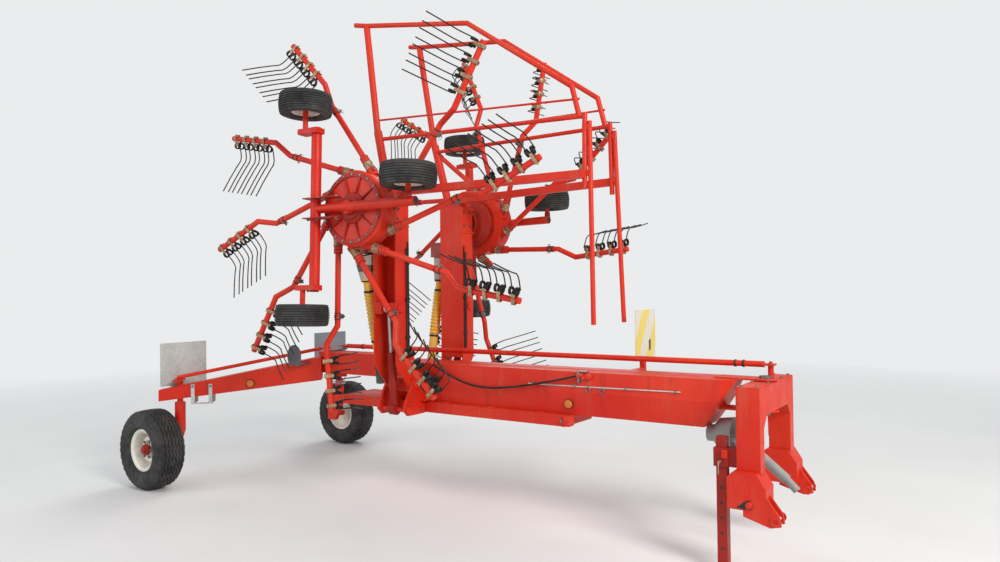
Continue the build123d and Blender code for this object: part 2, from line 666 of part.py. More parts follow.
EYE_Z = LEVER_Z + PLATE + 1.0
save(tie_rod(-1, EYE_Z).part, "right_tie_rod")
save(tie_rod(1, EYE_Z + TIE_EYE_THICKNESS + 1.0).part, "left_tie_rod")

# Knuckle: kingpin, trailing leg and the stub axle of a road wheel
with BuildPart() as knuckle:
    with BuildSketch(Plane.XY.offset(KNUCKLE_BOTTOM)):
        with Locations(KINGPIN):
            Circle(KNUCKLE_RADIUS)
    extrude(amount=KNUCKLE_TOP - KNUCKLE_BOTTOM)
    with BuildSketch(Plane.XY.offset(KNUCKLE_TOP)):
        with Locations(KINGPIN):
            Circle(KINGPIN_RADIUS)
    extrude(amount=225)
    arm_plane = Plane(
        origin=(*KINGPIN, KNUCKLE_ARM_Z),
        x_dir=(*KNUCKLE_ARM, 0),
        z_dir=(0, 0, 1),
    )
    arm_length = math.hypot(*KNUCKLE_ARM)
    play = STEER_PIN_RADIUS + TIE_PIN_PLAY
    with BuildSketch(arm_plane):
        Circle(KNUCKLE_RADIUS)
        with Locations((arm_length / 2, 0)):
            Rectangle(arm_length, 2 * KNUCKLE_RADIUS - 10)
        with Locations((arm_length, 0)):
            Circle(play + 14)
            Circle(play, mode=Mode.SUBTRACT)
    extrude(amount=PLATE)
    with BuildSketch(Plane.XZ.offset(-KINGPIN[1] - 20)):
        with BuildLine():
            Polyline(
                (KINGPIN[0] - 45, KNUCKLE_BOTTOM + 110),
                (KINGPIN[0] + 45, KNUCKLE_BOTTOM + 60),
                (KINGPIN[0] + 45, KNUCKLE_BOTTOM),
                (WHEEL_X + 60, MAIN_TYRE_RADIUS - 55),
                (WHEEL_X - 60, MAIN_TYRE_RADIUS - 55),
                (WHEEL_X - 60, MAIN_TYRE_RADIUS + 55),
                close=True,
            )
        make_face()
    extrude(amount=40)
    with BuildSketch(Plane.XZ.offset(-KINGPIN[1])):
        with Locations((WHEEL_X, MAIN_TYRE_RADIUS)):
            Circle(STUB_RADIUS)
    extrude(amount=TRACK_HALF + KINGPIN[1] + 20)
save_pair(knuckle, "knuckle")


def tyre(radius, width, rim_radius):
    """A tyre on the Y axis, round in section, with room for the rim."""
    half = width / 2
    with BuildPart() as piece:
        with BuildSketch(Plane.YZ):
            with BuildLine():
                Polyline(
                    (-half * 0.72, rim_radius),
                    (-half * 0.95, rim_radius + 0.2 * (radius - rim_radius)),
                    (-half, rim_radius + 0.5 * (radius - rim_radius)),
                    (-half * 0.88, rim_radius + 0.86 * (radius - rim_radius)),
                    (-half * 0.62, radius - 0.03 * width),
                    (0, radius),
                    (half * 0.62, radius - 0.03 * width),
                    (half * 0.88, rim_radius + 0.86 * (radius - rim_radius)),
                    (half, rim_radius + 0.5 * (radius - rim_radius)),
                    (half * 0.95, rim_radius + 0.2 * (radius - rim_radius)),
                    (half * 0.72, rim_radius),
                    close=True,
                )
            make_face()
        revolve(axis=Axis.Y)
    return piece


def rim(rim_radius, width, bore, dish):
    """A dished rim on the Y axis, its disc nearer the outer side, which is -Y."""
    half = width * 0.36
    with BuildPart() as piece:
        with BuildSketch(Plane.YZ):
            with BuildLine():
                Polyline(
                    (-half, rim_radius - SEAT_GAP),
                    (-half, rim_radius - 14),
                    (-half + 12, rim_radius - 30),
                    (dish - 8, rim_radius - 36),
                    (dish - 8, bore + 45),
                    (dish - 45, bore + 25),
                    (dish - 45, bore),
                    (dish + 30, bore),
                    (dish + 30, bore + 30),
                    (dish, bore + 50),
                    (dish, rim_radius - 30),
                    (half, rim_radius - 22),
                    (half, rim_radius - SEAT_GAP),
                    close=True,
                )
            make_face()
        revolve(axis=Axis.Y)
    return piece


with BuildPart() as main_tyre:
    with Locations((WHEEL_X, -TRACK_HALF, MAIN_TYRE_RADIUS)):
        add(tyre(MAIN_TYRE_RADIUS, MAIN_TYRE_WIDTH, MAIN_RIM_RADIUS).part)
save_pair(main_tyre, "main_tyre")
with BuildPart() as main_rim:
    with Locations((WHEEL_X, -TRACK_HALF, MAIN_TYRE_RADIUS)):
        add(rim(MAIN_RIM_RADIUS, MAIN_TYRE_WIDTH, STUB_RADIUS + PIN_CLEARANCE, 20).part)
save_pair(main_rim, "main_rim")

# Marker plates on the rear arms and the striped board beside the beam
with BuildPart() as marker_plates:
    for side in (-1, 1):
        with Locations((WHEEL_X + 50, side * 875, 1070)):
            Box(5, 450, 380)
        with Locations((WHEEL_X + 40, side * 960, 880)):
            Box(35, 70, 60)
    add(rear_frame.part, mode=Mode.SUBTRACT)
save(marker_plates.part, "marker_plates")
with BuildPart() as board_arm:
    with Locations((WHEEL_X + 3960, 240, 1090)):
        Box(50, 200, 30)
    with Locations((WHEEL_X + 3960, 350, 1130)):
        Box(40, 30, 110)
    add(main_beam.part, mode=Mode.SUBTRACT)
save(board_arm.part, "board_arm")
with BuildPart() as warning_board:
    with Locations((WHEEL_X + 3982.5 + SEAT_GAP, 350, 1350)):
        Box(5, 360, 370)
save(warning_board.part, "warning_board")

# Rotor head frame: lies level as it works, then pitched and folded over beside the beam
pitch = math.radians(ROTOR_PITCH)
lean = math.radians(FOLD_OVER)
rotor_plane = Plane(
    origin=ROTOR_CENTRE,
    x_dir=(math.cos(pitch), math.sin(pitch), 0),
    z_dir=(-math.sin(pitch) * math.cos(lean), math.cos(pitch) * math.cos(lean), -math.sin(lean)),
)
ROTOR_PLACE = rotor_plane.location


def stood_up(piece):
    """A piece made in the rotor head's frame, moved to its place on the right-hand side."""
    with BuildPart() as moved:
        with Locations(ROTOR_PLACE):
            add(piece.part)
    return moved


# Rotor head: cam housing, gear case, neck and the trunnion it tilts on
with BuildPart() as head:
    with BuildSketch(Plane.XZ):
        with BuildLine():
            Polyline(
                (AXLE_RADIUS, HUB_TOP + AXLE_CLEARANCE),
                (200, HUB_TOP + AXLE_CLEARANCE),
                (210, HUB_TOP + 45),
                (150, HUB_TOP + 90),
                (105, HUB_TOP + 105),
                (105, HUB_TOP + 130),
                (AXLE_RADIUS, HUB_TOP + 130),
                close=True,
            )
        make_face()
    revolve(axis=Axis.Z)
    with BuildSketch(Plane.XY.offset(HUB_TOP + 130)):
        Rectangle(120, 110)
    extrude(amount=TRUNNION_Z - HUB_TOP - 130)
    with BuildSketch(Plane.XZ.offset(-78)):
        with Locations((-30, TRUNNION_Z)):
            Circle(55)
    extrude(amount=156)
TRUNNION = ROTOR_PLACE.position + rotor_plane.x_dir * -30 + rotor_plane.z_dir * TRUNNION_Z
TRUNNION_LOW = ROTOR_CENTRE[2] - 95
TRUNNION_HIGH = ROTOR_CENTRE[2] + 95
with BuildPart() as rotor_head:
    add(stood_up(head).part)
    with BuildSketch(Plane.XY.offset(TRUNNION_LOW + SEAT_GAP)):
        with Locations((TRUNNION.X, TRUNNION.Y)):
            Circle(40)
    extrude(amount=TRUNNION_HIGH - TRUNNION_LOW - 2 * SEAT_GAP)
save_pair(rotor_head, "rotor_head")

# Runner frame under a rotor: axle, cross tube, long tube and the wheels' stub axles
with BuildPart() as runner_frame:
    with BuildSketch(Plane.XY.offset(RUNNER_Z)):
        Circle(AXLE_RADIUS)
    extrude(amount=HUB_TOP + 130 - RUNNER_Z)
    with BuildSketch(Plane.XZ.offset(-CROSS_TUBE_HALF)):
        with Locations((CROSS_TUBE_X, RUNNER_Z)):
            Circle(CROSS_TUBE_RADIUS)
    extrude(amount=2 * CROSS_TUBE_HALF)
    with BuildSketch(Plane.YZ.offset(CROSS_TUBE_X)):
        with Locations((0, RUNNER_Z)):
            Circle(LONG_TUBE_RADIUS)
    extrude(amount=LONG_TUBE_FRONT - CROSS_TUBE_X)
    for x, y, stub_start in ROTOR_WHEELS.values():
        add(bar((x, stub_start, AXLE_Z), (x, y, AXLE_Z), 20).part)
    for side in (-1, 1):
        with Locations((CROSS_TUBE_X - 45, side * (CROSS_TUBE_HALF + 10), RUNNER_Z - 15)):
            Box(190, 40, 90)
save_pair(stood_up(runner_frame), "runner_frame")

# Guard frame above a rotor: box arm, rail on its post, lower tube, thin bar and front bar
with BuildPart() as guard_frame:
    with Locations((790, -190, GUARD_Z - 22)):
        Box(1700, 56, 56)
    add(bent_bar([(-441, -1640, GUARD_Z), (-317, -1612, GUARD_Z), (669, -1445, GUARD_Z),
                  (1542, -824, GUARD_Z), (1600, -600, GUARD_Z)], GUARD_TUBE).part)
    add(bar((-317, -1612, GUARD_Z), (-170, -640, GUARD_Z - 10), 27).part)
    add(bar((-175, -700, GUARD_Z - 10), (-50, -190, GUARD_Z - 22), 34).part)
    add(bar((-170, -640, GUARD_Z), (1640, -600, GUARD_Z), 16).part)
    add(bar((-200, -800, GUARD_Z), (1600, -727, GUARD_Z), 8).part)
    add(bar((1640, -625, GUARD_Z), (1640, -95, GUARD_Z), 18).part)
    add(bar((1675, -560, GUARD_Z), (1705, 850, GUARD_Z), 17).part)
    for y in (-520, -200):
        with Locations((1655, y, GUARD_Z)):
            Box(60, 40, 30)
with BuildPart() as seated_guard:
    add(stood_up(guard_frame).part)
    with Locations((BOOM_REAR_X + BOOM_WIDTH / 2, (BOOM_INNER_Y + BOOM_OUTER_Y) / 2, BOOM_TOP + 35)):
        Box(BOOM_WIDTH - 40, BOOM_INNER_Y - BOOM_OUTER_Y - 20, 70 - 2 * SEAT_GAP)
save_pair(seated_guard, "guard_frame")


# Drive shaft behind a boom: gear case on the boom, cones and the yellow guard tube
DRIVE_FOOT = Vector(DRIVE_X, FOLD_Y, FOLD_Z)
DRIVE_TOP = Vector(DRIVE_X, -500, 1985)
drive_unit = (DRIVE_TOP - DRIVE_FOOT).normalized()
drive_length = (DRIVE_TOP - DRIVE_FOOT).length
with BuildPart() as drive_shaft:
    for start, low_radius, high_radius, length in (
        (0, 52, 42, 120),
        (115, 37, 37, drive_length - 310),
        (drive_length - 200, 55, 80, 200),
    ):
        with BuildSketch(Plane(origin=DRIVE_FOOT + drive_unit * start, z_dir=drive_unit)):
            Circle(low_radius)
        with BuildSketch(Plane(origin=DRIVE_FOOT + drive_unit * (start + length), z_dir=drive_unit)):
            Circle(high_radius)
        loft()
    with Locations(((DRIVE_CASE_REAR + BOOM_REAR_X - SEAT_GAP) / 2, DRIVE_TOP.Y, DRIVE_TOP.Z + 80)):
        Box(BOOM_REAR_X - SEAT_GAP - DRIVE_CASE_REAR, 170, 130)
save_pair(drive_shaft, "drive_shaft")
with BuildPart() as drive_stubs:
    for side in (-1, 1):
        with BuildSketch(Plane.XZ.offset(-side * 150)):
            with Locations((DRIVE_X, FOLD_Z)):
                Circle(50)
        extrude(amount=-side * 83)
    add(main_beam.part, mode=Mode.SUBTRACT)
save(drive_stubs.part, "drive_stubs")


def wheel_pieces(name):
    """Tyre and rim of one wheel under a rotor head, still in the head's frame."""
    x, y, stub_start = ROTOR_WHEELS[name]
    with BuildPart() as small_tyre:
        with Locations((x, y, AXLE_Z)):
            add(tyre(ROTOR_TYRE_RADIUS, ROTOR_TYRE_WIDTH, ROTOR_RIM_RADIUS).part)
    with BuildPart() as small_rim:
        with Locations((x, y, AXLE_Z)):
            add(rim(ROTOR_RIM_RADIUS, ROTOR_TYRE_WIDTH, 20 + PIN_CLEARANCE, 0).part)
    return small_tyre, small_rim


for wheel_name in ROTOR_WHEELS:
    wheel_tyre, wheel_rim = wheel_pieces(wheel_name)
    save_pair(stood_up(wheel_tyre), f"{wheel_name}_tyre")
    save_pair(stood_up(wheel_rim), f"{wheel_name}_rim")


def rotor_arms(twists, first_angle):
    """The turning hub with its sockets and arms, in the rotor head's frame."""
    with BuildPart() as rotor:
        with BuildSketch(Plane.XZ):
            with BuildLine():
                Polyline(
                    (AXLE_RADIUS + PIN_CLEARANCE, HUB_BOTTOM),
                    (HUB_RADIUS - 15, HUB_BOTTOM),
                    (HUB_RADIUS, HUB_BOTTOM + 15),
                    (HUB_RADIUS, HUB_TOP - 20),
                    (HUB_RADIUS - 60, HUB_TOP),
                    (AXLE_RADIUS + PIN_CLEARANCE, HUB_TOP),
                    close=True,
                )
            make_face()
        revolve(axis=Axis.Z)
        socket_x = math.sqrt(HUB_RADIUS**2 - ARM_OFFSET**2) - 25
        for number, twist in enumerate(twists):
            angle = first_angle + number * 360 / ARM_COUNT
            with BuildPart(mode=Mode.PRIVATE) as arm:
                add(bar((socket_x, ARM_OFFSET, ARM_HEIGHT),
                        (socket_x + SLEEVE_LENGTH, ARM_OFFSET, ARM_HEIGHT), SLEEVE_RADIUS).part)
                if twist is not None:
                    add(bent_bar([(socket_x + 20, ARM_OFFSET, ARM_HEIGHT),
                                  (JOG_START, ARM_OFFSET, ARM_HEIGHT),
                                  (JOG_END, JOG_SIDE, 0),
                                  (ARM_REACH, ARM_TIP_SIDE, 0)], ARM_TUBE_RADIUS).part)
            add(arm.part.rotate(Axis.Z, angle))
    return rotor


def tine_pair():
    """A double coil tine: carrier along X, its coil beside the carrier, tines bent at the knee."""
    height = ARM_TUBE_RADIUS + COIL_RADIUS + SEAT_GAP
    end_side = TINE_END * math.cos(math.radians(TINE_BEND))
    end_drop = TINE_END * math.sin(math.radians(TINE_BEND))
    with BuildPart() as piece:
        with BuildSketch(Plane.YZ.offset(-COIL_LENGTH / 2)):
            with Locations((-height, 0)):
                RegularPolygon(COIL_RADIUS, 8)
        extrude(amount=COIL_LENGTH)
        for x in (-TINE_HALF_PITCH, TINE_HALF_PITCH):
            with BuildLine(mode=Mode.PRIVATE) as path:
                Polyline(
                    (x, -height, 0),
                    (x, -height - TINE_RISE, 0),
                    (x, -height - TINE_RISE - end_side, -end_drop),
                )
            with BuildSketch(Plane(origin=(x, -height, 0), z_dir=(0, -1, 0))):
                RegularPolygon(TINE_WIRE / 2, 4)
            sweep(path=path.wire(), transition=Transition.RIGHT)
    return piece


TINE_PAIR = tine_pair().part


def rotor_tines(twists, first_angle):
    """The double tines of every arm that is fitted, in the rotor head's frame."""
    run = Vector(ARM_REACH - JOG_END, ARM_TIP_SIDE - JOG_SIDE, 0)
    along = run.normalized()
    pairs = []
    for number, twist in enumerate(twists):
        if twist is None:
            continue
        angle = first_angle + number * 360 / ARM_COUNT
        for pair in range(4):
            centre = Vector(ARM_REACH, ARM_TIP_SIDE, 0) - along * (TINE_END_GAP + pair * TINE_PAIR_PITCH)
            place = Plane(origin=centre, x_dir=along, z_dir=(0, 0, 1)).location
            turned = TINE_PAIR.rotate(Axis.X, -twist).moved(place)
            pairs.append(turned.rotate(Axis.Z, angle))
    with BuildPart() as tines:
        add(pairs)
    return tines


right_rotor = stood_up(rotor_arms(RIGHT_TWISTS, RIGHT_FIRST_ARM))
save(right_rotor.part, "right_rotor")
right_tines = stood_up(rotor_tines(RIGHT_TWISTS, RIGHT_FIRST_ARM))
save(right_tines.part, "right_tines")
left_rotor = mirrored(stood_up(rotor_arms(LEFT_TWISTS, LEFT_FIRST_ARM)))
save(left_rotor.part, "left_rotor")
left_tines = mirrored(stood_up(rotor_tines(LEFT_TWISTS, LEFT_FIRST_ARM)))
save(left_tines.part, "left_tines")
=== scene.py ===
"""Visual model of a twin-rotor rotary rake, folded up for the road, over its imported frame."""
import logging
import math
from collections.abc import Iterable
from dataclasses import dataclass, field
from enum import Enum
from typing import NamedTuple

import bmesh
import bpy
from mathutils import Matrix, Vector


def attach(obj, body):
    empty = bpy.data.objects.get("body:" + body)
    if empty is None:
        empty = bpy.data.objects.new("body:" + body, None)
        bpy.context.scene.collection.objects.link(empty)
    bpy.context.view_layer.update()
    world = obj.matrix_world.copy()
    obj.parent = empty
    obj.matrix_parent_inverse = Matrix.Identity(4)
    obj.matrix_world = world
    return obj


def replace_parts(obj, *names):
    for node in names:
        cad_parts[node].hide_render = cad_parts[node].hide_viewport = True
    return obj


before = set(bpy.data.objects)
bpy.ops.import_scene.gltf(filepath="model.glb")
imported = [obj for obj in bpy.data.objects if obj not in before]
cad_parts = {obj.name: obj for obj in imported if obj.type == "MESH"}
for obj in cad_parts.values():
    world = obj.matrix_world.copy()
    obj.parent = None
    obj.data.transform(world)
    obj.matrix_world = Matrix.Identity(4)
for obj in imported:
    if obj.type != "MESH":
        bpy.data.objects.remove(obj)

logging.basicConfig(level=logging.INFO, format="%(message)s")
log = logging.getLogger("rake")
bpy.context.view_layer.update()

Colour = tuple[int, int, int]
Pair = tuple[float, float]
Point = tuple[float, float, float]
Shape = bmesh.types.BMesh
Socket = bpy.types.NodeSocket

WHEEL_X = -2.391
ROTOR_CENTRE = Vector((WHEEL_X + 2.2, -0.8, 2.309))
ROTOR_PITCH = math.radians(5.0)
FOLD_OVER = math.radians(2.0)
ARM_COUNT = 10
ARM_STEP = 36.0  # degrees
FORWARD: Point = (1, 0, 0)
OUTWARD: Point = (0, -1, 0)  # away from the machine, on its right-hand side
QUARTER = math.pi / 2


class Side(Enum):
    """The machine's two sides, with the sign of their Y."""

    RIGHT = -1
    LEFT = 1

    def of(self, name: str) -> str:
        """A body's, node's or piece's name on this side."""
        return f"{self.name.lower()}_{name}"


FIRST_ARM = {Side.RIGHT: -90.5, Side.LEFT: -70.0}  # degrees round the hub
ARM_TWISTS: dict[Side, tuple[int | None, ...]] = {  # degrees about the arm; None is the empty socket
    Side.RIGHT: (None, -23, -23, -23, 0, 19, 30, 36, 33, -3),
    Side.LEFT: (-23, -23, -23, None, 0, 19, 30, 36, 33, -3),
}


def at(x: float, y: float, z: float) -> Matrix:
    """A move in metres."""
    return Matrix.Translation((x, y, z))


def turned(angle: float, axis: str) -> Matrix:
    """A turn about one axis, in radians."""
    return Matrix.Rotation(angle, 4, axis)


def axes(x: Vector | Point, y: Vector | Point, z: Vector | Point) -> Matrix:
    """A turn whose X, Y and Z lie along three directions."""
    return Matrix((x, y, z)).transposed().to_4x4()


def spot(x: float, y: float, z: float) -> Vector:
    """A point whose X counts from the road wheels' axle."""
    return Vector((WHEEL_X + x, y, z))


def frame_at(centre: Vector | Point, axis: Vector | Point) -> Matrix:
    """A transform whose Z lies along an axis, at a centre."""
    return Matrix.Translation(centre) @ Vector(axis).to_track_quat("Z", "X").to_matrix().to_4x4()


def around(count: int, radius: float, height: float, offset: float = 0.0) -> list[Matrix]:
    """Evenly spaced places on a circle about Z.

    Args:
        count: how many places there are.
        radius: the circle's radius.
        height: how high it lies.
        offset: how far the first place is turned, as a share of a step.

    Returns:
        The places, each with its X pointing outwards.
    """
    return [turned((step + offset) * math.tau / count, "Z") @ at(radius, 0, height) for step in range(count)]


def mirror_for(side: Side) -> Matrix:
    """The transform that carries a right-hand point to a side."""
    return Matrix.Identity(4) if side is Side.RIGHT else Matrix.Scale(-1.0, 4, (0.0, 1.0, 0.0))


def rotor_place(side: Side) -> Matrix:
    """The rotor head's own frame, Z along the rotor's axis, in the machine's frame."""
    along = Vector((math.cos(ROTOR_PITCH), math.sin(ROTOR_PITCH), 0.0))
    axis = Vector((-math.sin(ROTOR_PITCH) * math.cos(FOLD_OVER), math.cos(ROTOR_PITCH) * math.cos(FOLD_OVER),
                   -math.sin(FOLD_OVER)))
    return mirror_for(side) @ Matrix.Translation(ROTOR_CENTRE) @ axes(along, axis.cross(along), axis)


def arm_turn(side: Side, number: float) -> Matrix:
    """How far an arm of a rotor is turned round its hub."""
    return turned(math.radians(FIRST_ARM[side] + number * ARM_STEP), "Z")


def linear(red: int, green: int, blue: int) -> tuple[float, float, float, float]:
    """A screen colour as the linear values that a shader takes."""
    values = []
    for level in (red, green, blue):
        share = level / 255
        values.append(share / 12.92 if share <= 0.04045 else ((share + 0.055) / 1.055) ** 2.4)
    return (*values, 1.0)


class NodeDesk:
    """A material's node tree, with short calls that add and link its nodes."""

    def __init__(self, name: str) -> None:
        """Start a material with its shader and object coordinates."""
        self.material = bpy.data.materials.new(name)
        self.material.use_nodes = True
        self.tree = self.material.node_tree
        self.shader = self.tree.nodes["Principled BSDF"]
        self.place = self.add("ShaderNodeTexCoord").outputs["Object"]

    def add(self, kind: str, **settings: object) -> bpy.types.Node:
        """Add a node and set its properties."""
        node = self.tree.nodes.new(kind)
        for name, value in settings.items():
            setattr(node, name, value)
        return node

    def link(self, source: Socket, target: Socket) -> None:
        """Join two sockets."""
        self.tree.links.new(source, target)

    def noise(self, scale: float, detail: float = 4.0, rough: float = 0.55,
              stretch: Point | None = None) -> Socket:
        """A noise over the piece.

        Args:
            scale: how fine the noise is, per metre.
            detail: its octaves.
            rough: how strong the finer octaves are.
            stretch: factors on the coordinates, for streaks.

        Returns:
            The noise's value.
        """
        texture = self.add("ShaderNodeTexNoise")
        for name, level in (("Scale", scale), ("Detail", detail), ("Roughness", rough)):
            texture.inputs[name].default_value = level
        place = self.place
        if stretch:
            mapping = self.add("ShaderNodeMapping")
            mapping.inputs["Scale"].default_value = stretch
            self.link(place, mapping.inputs["Vector"])
            place = mapping.outputs["Vector"]
        self.link(place, texture.inputs["Vector"])
        return texture.outputs["Fac"]

    def band(self, value: Socket, low: float, high: float, to_low: float = 0.0, to_high: float = 1.0) -> Socket:
        """A value's band between two levels, clamped and carried to a new range."""
        node = self.add("ShaderNodeMapRange", clamp=True)
        self.link(value, node.inputs["Value"])
        for name, level in (("From Min", low), ("From Max", high), ("To Min", to_low), ("To Max", to_high)):
            node.inputs[name].default_value = level
        return node.outputs["Result"]

    def patches(self, scale: float, detail: float, low: float, high: float, top: float = 1.0,
                rough: float = 0.55, stretch: Point | None = None) -> Socket:
        """Patches of a noise between two of its levels, from 0 up to a top."""
        return self.band(self.noise(scale, detail, rough, stretch), low, high, 0.0, top)

    def cells(self, scale: float) -> bpy.types.Node:
        """Cells over the piece, so many to the metre."""
        node = self.add("ShaderNodeTexVoronoi", feature="F1")
        node.inputs["Scale"].default_value = scale
        self.link(self.place, node.inputs["Vector"])
        return node

    def sum(self, first: Socket, second: Socket | float, operation: str = "ADD") -> Socket:
        """Two values put together by a maths operation."""
        node = self.add("ShaderNodeMath", operation=operation, use_clamp=True)
        self.link(first, node.inputs[0])
        if isinstance(second, float):
            node.inputs[1].default_value = second
        else:
            self.link(second, node.inputs[1])
        return node.outputs[0]

    def mix(self, share: Socket, first: Socket | Colour, second: Socket | Colour) -> Socket:
        """Two colours mixed by a share."""
        node = self.add("ShaderNodeMix", data_type="RGBA")
        self.link(share, node.inputs["Factor"])
        for socket, colour in ((node.inputs[6], first), (node.inputs[7], second)):
            if isinstance(colour, tuple):
                socket.default_value = linear(*colour)
            else:
                self.link(colour, socket)
        return node.outputs[2]

    def facing(self, low: float, high: float) -> Socket:
        """How far a surface faces up, between two levels of its normal's Z."""
        split = self.add("ShaderNodeSeparateXYZ")
        self.link(self.add("ShaderNodeNewGeometry").outputs["Normal"], split.inputs[0])
        return self.band(split.outputs["Z"], low, high)

    def height(self, socket: str = "Z") -> Socket:
        """A coordinate of the surface in the machine's frame, in metres."""
        split = self.add("ShaderNodeSeparateXYZ")
        self.link(self.place, split.inputs[0])
        return split.outputs[socket]

    def rounded(self, radius: float) -> tuple[Socket, Socket]:
        """Round the surface's sharp edges in its shading.

        Args:
            radius: how wide the rounding is, in metres.

        Returns:
            The rounded normal, and how near the surface is to an edge from 0 to 1.
        """
        soft = self.add("ShaderNodeBevel", samples=4)
        soft.inputs["Radius"].default_value = radius
        match = self.add("ShaderNodeVectorMath", operation="DOT_PRODUCT")
        self.link(soft.outputs["Normal"], match.inputs[0])
        self.link(self.add("ShaderNodeNewGeometry").outputs["Normal"], match.inputs[1])
        return soft.outputs["Normal"], self.band(match.outputs["Value"], 0.80, 0.995, 1.0, 0.0)

    def bump(self, value: Socket, distance: float, strength: float, normal: Socket | None = None) -> None:
        """Roughen the surface by a height value, over a normal where one is given."""
        node = self.add("ShaderNodeBump")
        node.inputs["Distance"].default_value = distance
        node.inputs["Strength"].default_value = strength
        self.link(value, node.inputs["Height"])
        if normal is not None:
            self.link(normal, node.inputs["Normal"])
        self.link(node.outputs["Normal"], self.shader.inputs["Normal"])

    def colour(self, socket: Socket) -> None:
        """Give the shader its base colour."""
        self.link(socket, self.shader.inputs["Base Color"])

    def sheen(self, scale: float, detail: float, low: float, high: float) -> None:
        """Vary the shader's roughness between two levels by a noise."""
        self.link(self.band(self.noise(scale, detail), 0.3, 0.7, low, high), self.shader.inputs["Roughness"])

    def set(self, **values: float) -> None:
        """Set plain values on the shader, with spaces written as underscores."""
        for name, value in values.items():
            self.shader.inputs[name.replace("_", " ")].default_value = value


@dataclass(frozen=True)
class Paint:
    """Machine enamel that has faded, gathered dust and chipped to primer in small spots, with edges paled partly by
    wear and partly by painted highlight.
    """

    name: str
    fresh: Colour
    faded: Colour
    primer: Colour = (92, 62, 50)
    dust: Colour = (168, 120, 92)
    grime: Colour = (96, 22, 14)
    chips: float = 0.650
    gloss: float = 0.40
    edge: float = 0.004

    def material(self) -> bpy.types.Material:
        """Build the enamel's nodes."""
        desk = NodeDesk(self.name)
        upward = desk.sum(desk.facing(0.2, 1.0), 0.55, "MULTIPLY")
        enamel = desk.mix(desk.sum(desk.patches(1.6, 5.0, 0.35, 0.7), upward), self.fresh, self.faded)
        streaks = desk.patches(7.0, 6.0, 0.54, 0.78, 0.34, 0.7, (1.0, 1.0, 0.16))
        runs = desk.patches(13.0, 7.0, 0.56, 0.74, 0.42, 0.72, (1.0, 1.0, 0.10))
        grimy = desk.mix(runs, desk.mix(streaks, enamel, self.dust), self.grime)
        normal, near_edge = desk.rounded(self.edge)
        # edges are paled toward the dust colour: partly rubbed wear, partly painted highlight
        edge_wear_and_highlight = desk.sum(near_edge, desk.patches(20.0, 6.0, 0.40, 0.70, rough=0.7), "MULTIPLY")
        pale = desk.mix(desk.sum(edge_wear_and_highlight, 0.45, "MULTIPLY"), grimy, self.dust)
        chip = desk.patches(34.0, 9.0, self.chips, self.chips + 0.02, rough=0.68)
        worn = desk.sum(desk.sum(near_edge, 0.12, "MULTIPLY"), desk.noise(46.0, 9.0, 0.7))
        desk.colour(desk.mix(desk.sum(chip, desk.band(worn, 0.700, 0.720)), pale, self.primer))
        desk.sheen(9.0, 5.0, self.gloss - 0.06, self.gloss + 0.16)
        desk.bump(desk.noise(120.0, 3.0), 0.0006, 0.25, normal)
        desk.set(Metallic=0.0, Specular_IOR_Level=0.30)
        return desk.material


@dataclass(frozen=True)
class Zinc:
    """Galvanised sheet or plated fasteners, with spangle and a dull bloom, and painted shade on the machine's left
    half where a shade colour is given.
    """

    name: str
    light: Colour
    dark: Colour
    spangle: float = 60.0
    metal: float = 0.75
    painted_shade_left: Colour | None = None

    def material(self) -> bpy.types.Material:
        """Build the zinc's nodes."""
        desk = NodeDesk(self.name)
        grey = desk.add("ShaderNodeSeparateColor")
        desk.link(desk.cells(self.spangle).outputs["Color"], grey.inputs[0])
        share = desk.sum(desk.band(grey.outputs[0], 0.0, 1.0, 0.0, 0.55), desk.patches(5.0, 5.0, 0.4, 0.7, 0.45))
        tone = desk.mix(share, self.light, self.dark)
        # zinc on the machine's left half turns toward a bluish grey: painted shade
        if self.painted_shade_left:
            tone = desk.mix(desk.band(desk.height("Y"), -0.05, 0.05, 0.0, 0.8), tone, self.painted_shade_left)
        desk.colour(tone)
        desk.link(desk.band(grey.outputs[0], 0.0, 1.0, 0.38, 0.58), desk.shader.inputs["Roughness"])
        desk.bump(desk.noise(140.0, 3.0), 0.0005, 0.3)
        desk.set(Metallic=self.metal)
        return desk.material


@dataclass(frozen=True)
class Rubber:
    """Tyre or moulding rubber with dust caught in its hollows."""

    name: str
    dark: Colour = (34, 34, 36)
    worn: Colour = (66, 65, 64)
    dust: Colour = (122, 112, 98)
    dusty: float = 0.35

    def material(self) -> bpy.types.Material:
        """Build the rubber's nodes."""
        desk = NodeDesk(self.name)
        base = desk.mix(desk.patches(6.0, 6.0, 0.35, 0.7), self.dark, self.worn)
        desk.colour(desk.mix(desk.patches(18.0, 8.0, 0.5, 0.8, self.dusty, 0.7), base, self.dust))
        desk.sheen(30.0, 4.0, 0.62, 0.86)
        desk.bump(desk.noise(220.0, 4.0), 0.0006, 0.4)
        desk.set(Specular_IOR_Level=0.35)
        return desk.material


@dataclass(frozen=True)
class SpringSteel:
    """Dark oiled spring wire, rusty in patches and polished where the crop rubs it."""

    name: str
    dark: Colour = (38, 36, 36)
    rust: Colour = (96, 66, 50)
    metal: float = 0.55

    def material(self) -> bpy.types.Material:
        """Build the wire's nodes."""
        desk = NodeDesk(self.name)
        desk.colour(desk.mix(desk.patches(26.0, 6.0, 0.5, 0.72, 0.7, 0.65), self.dark, self.rust))
        desk.sheen(40.0, 4.0, 0.34, 0.6)
        desk.bump(desk.noise(300.0, 3.0), 0.0003, 0.3)
        desk.set(Metallic=self.metal)
        return desk.material


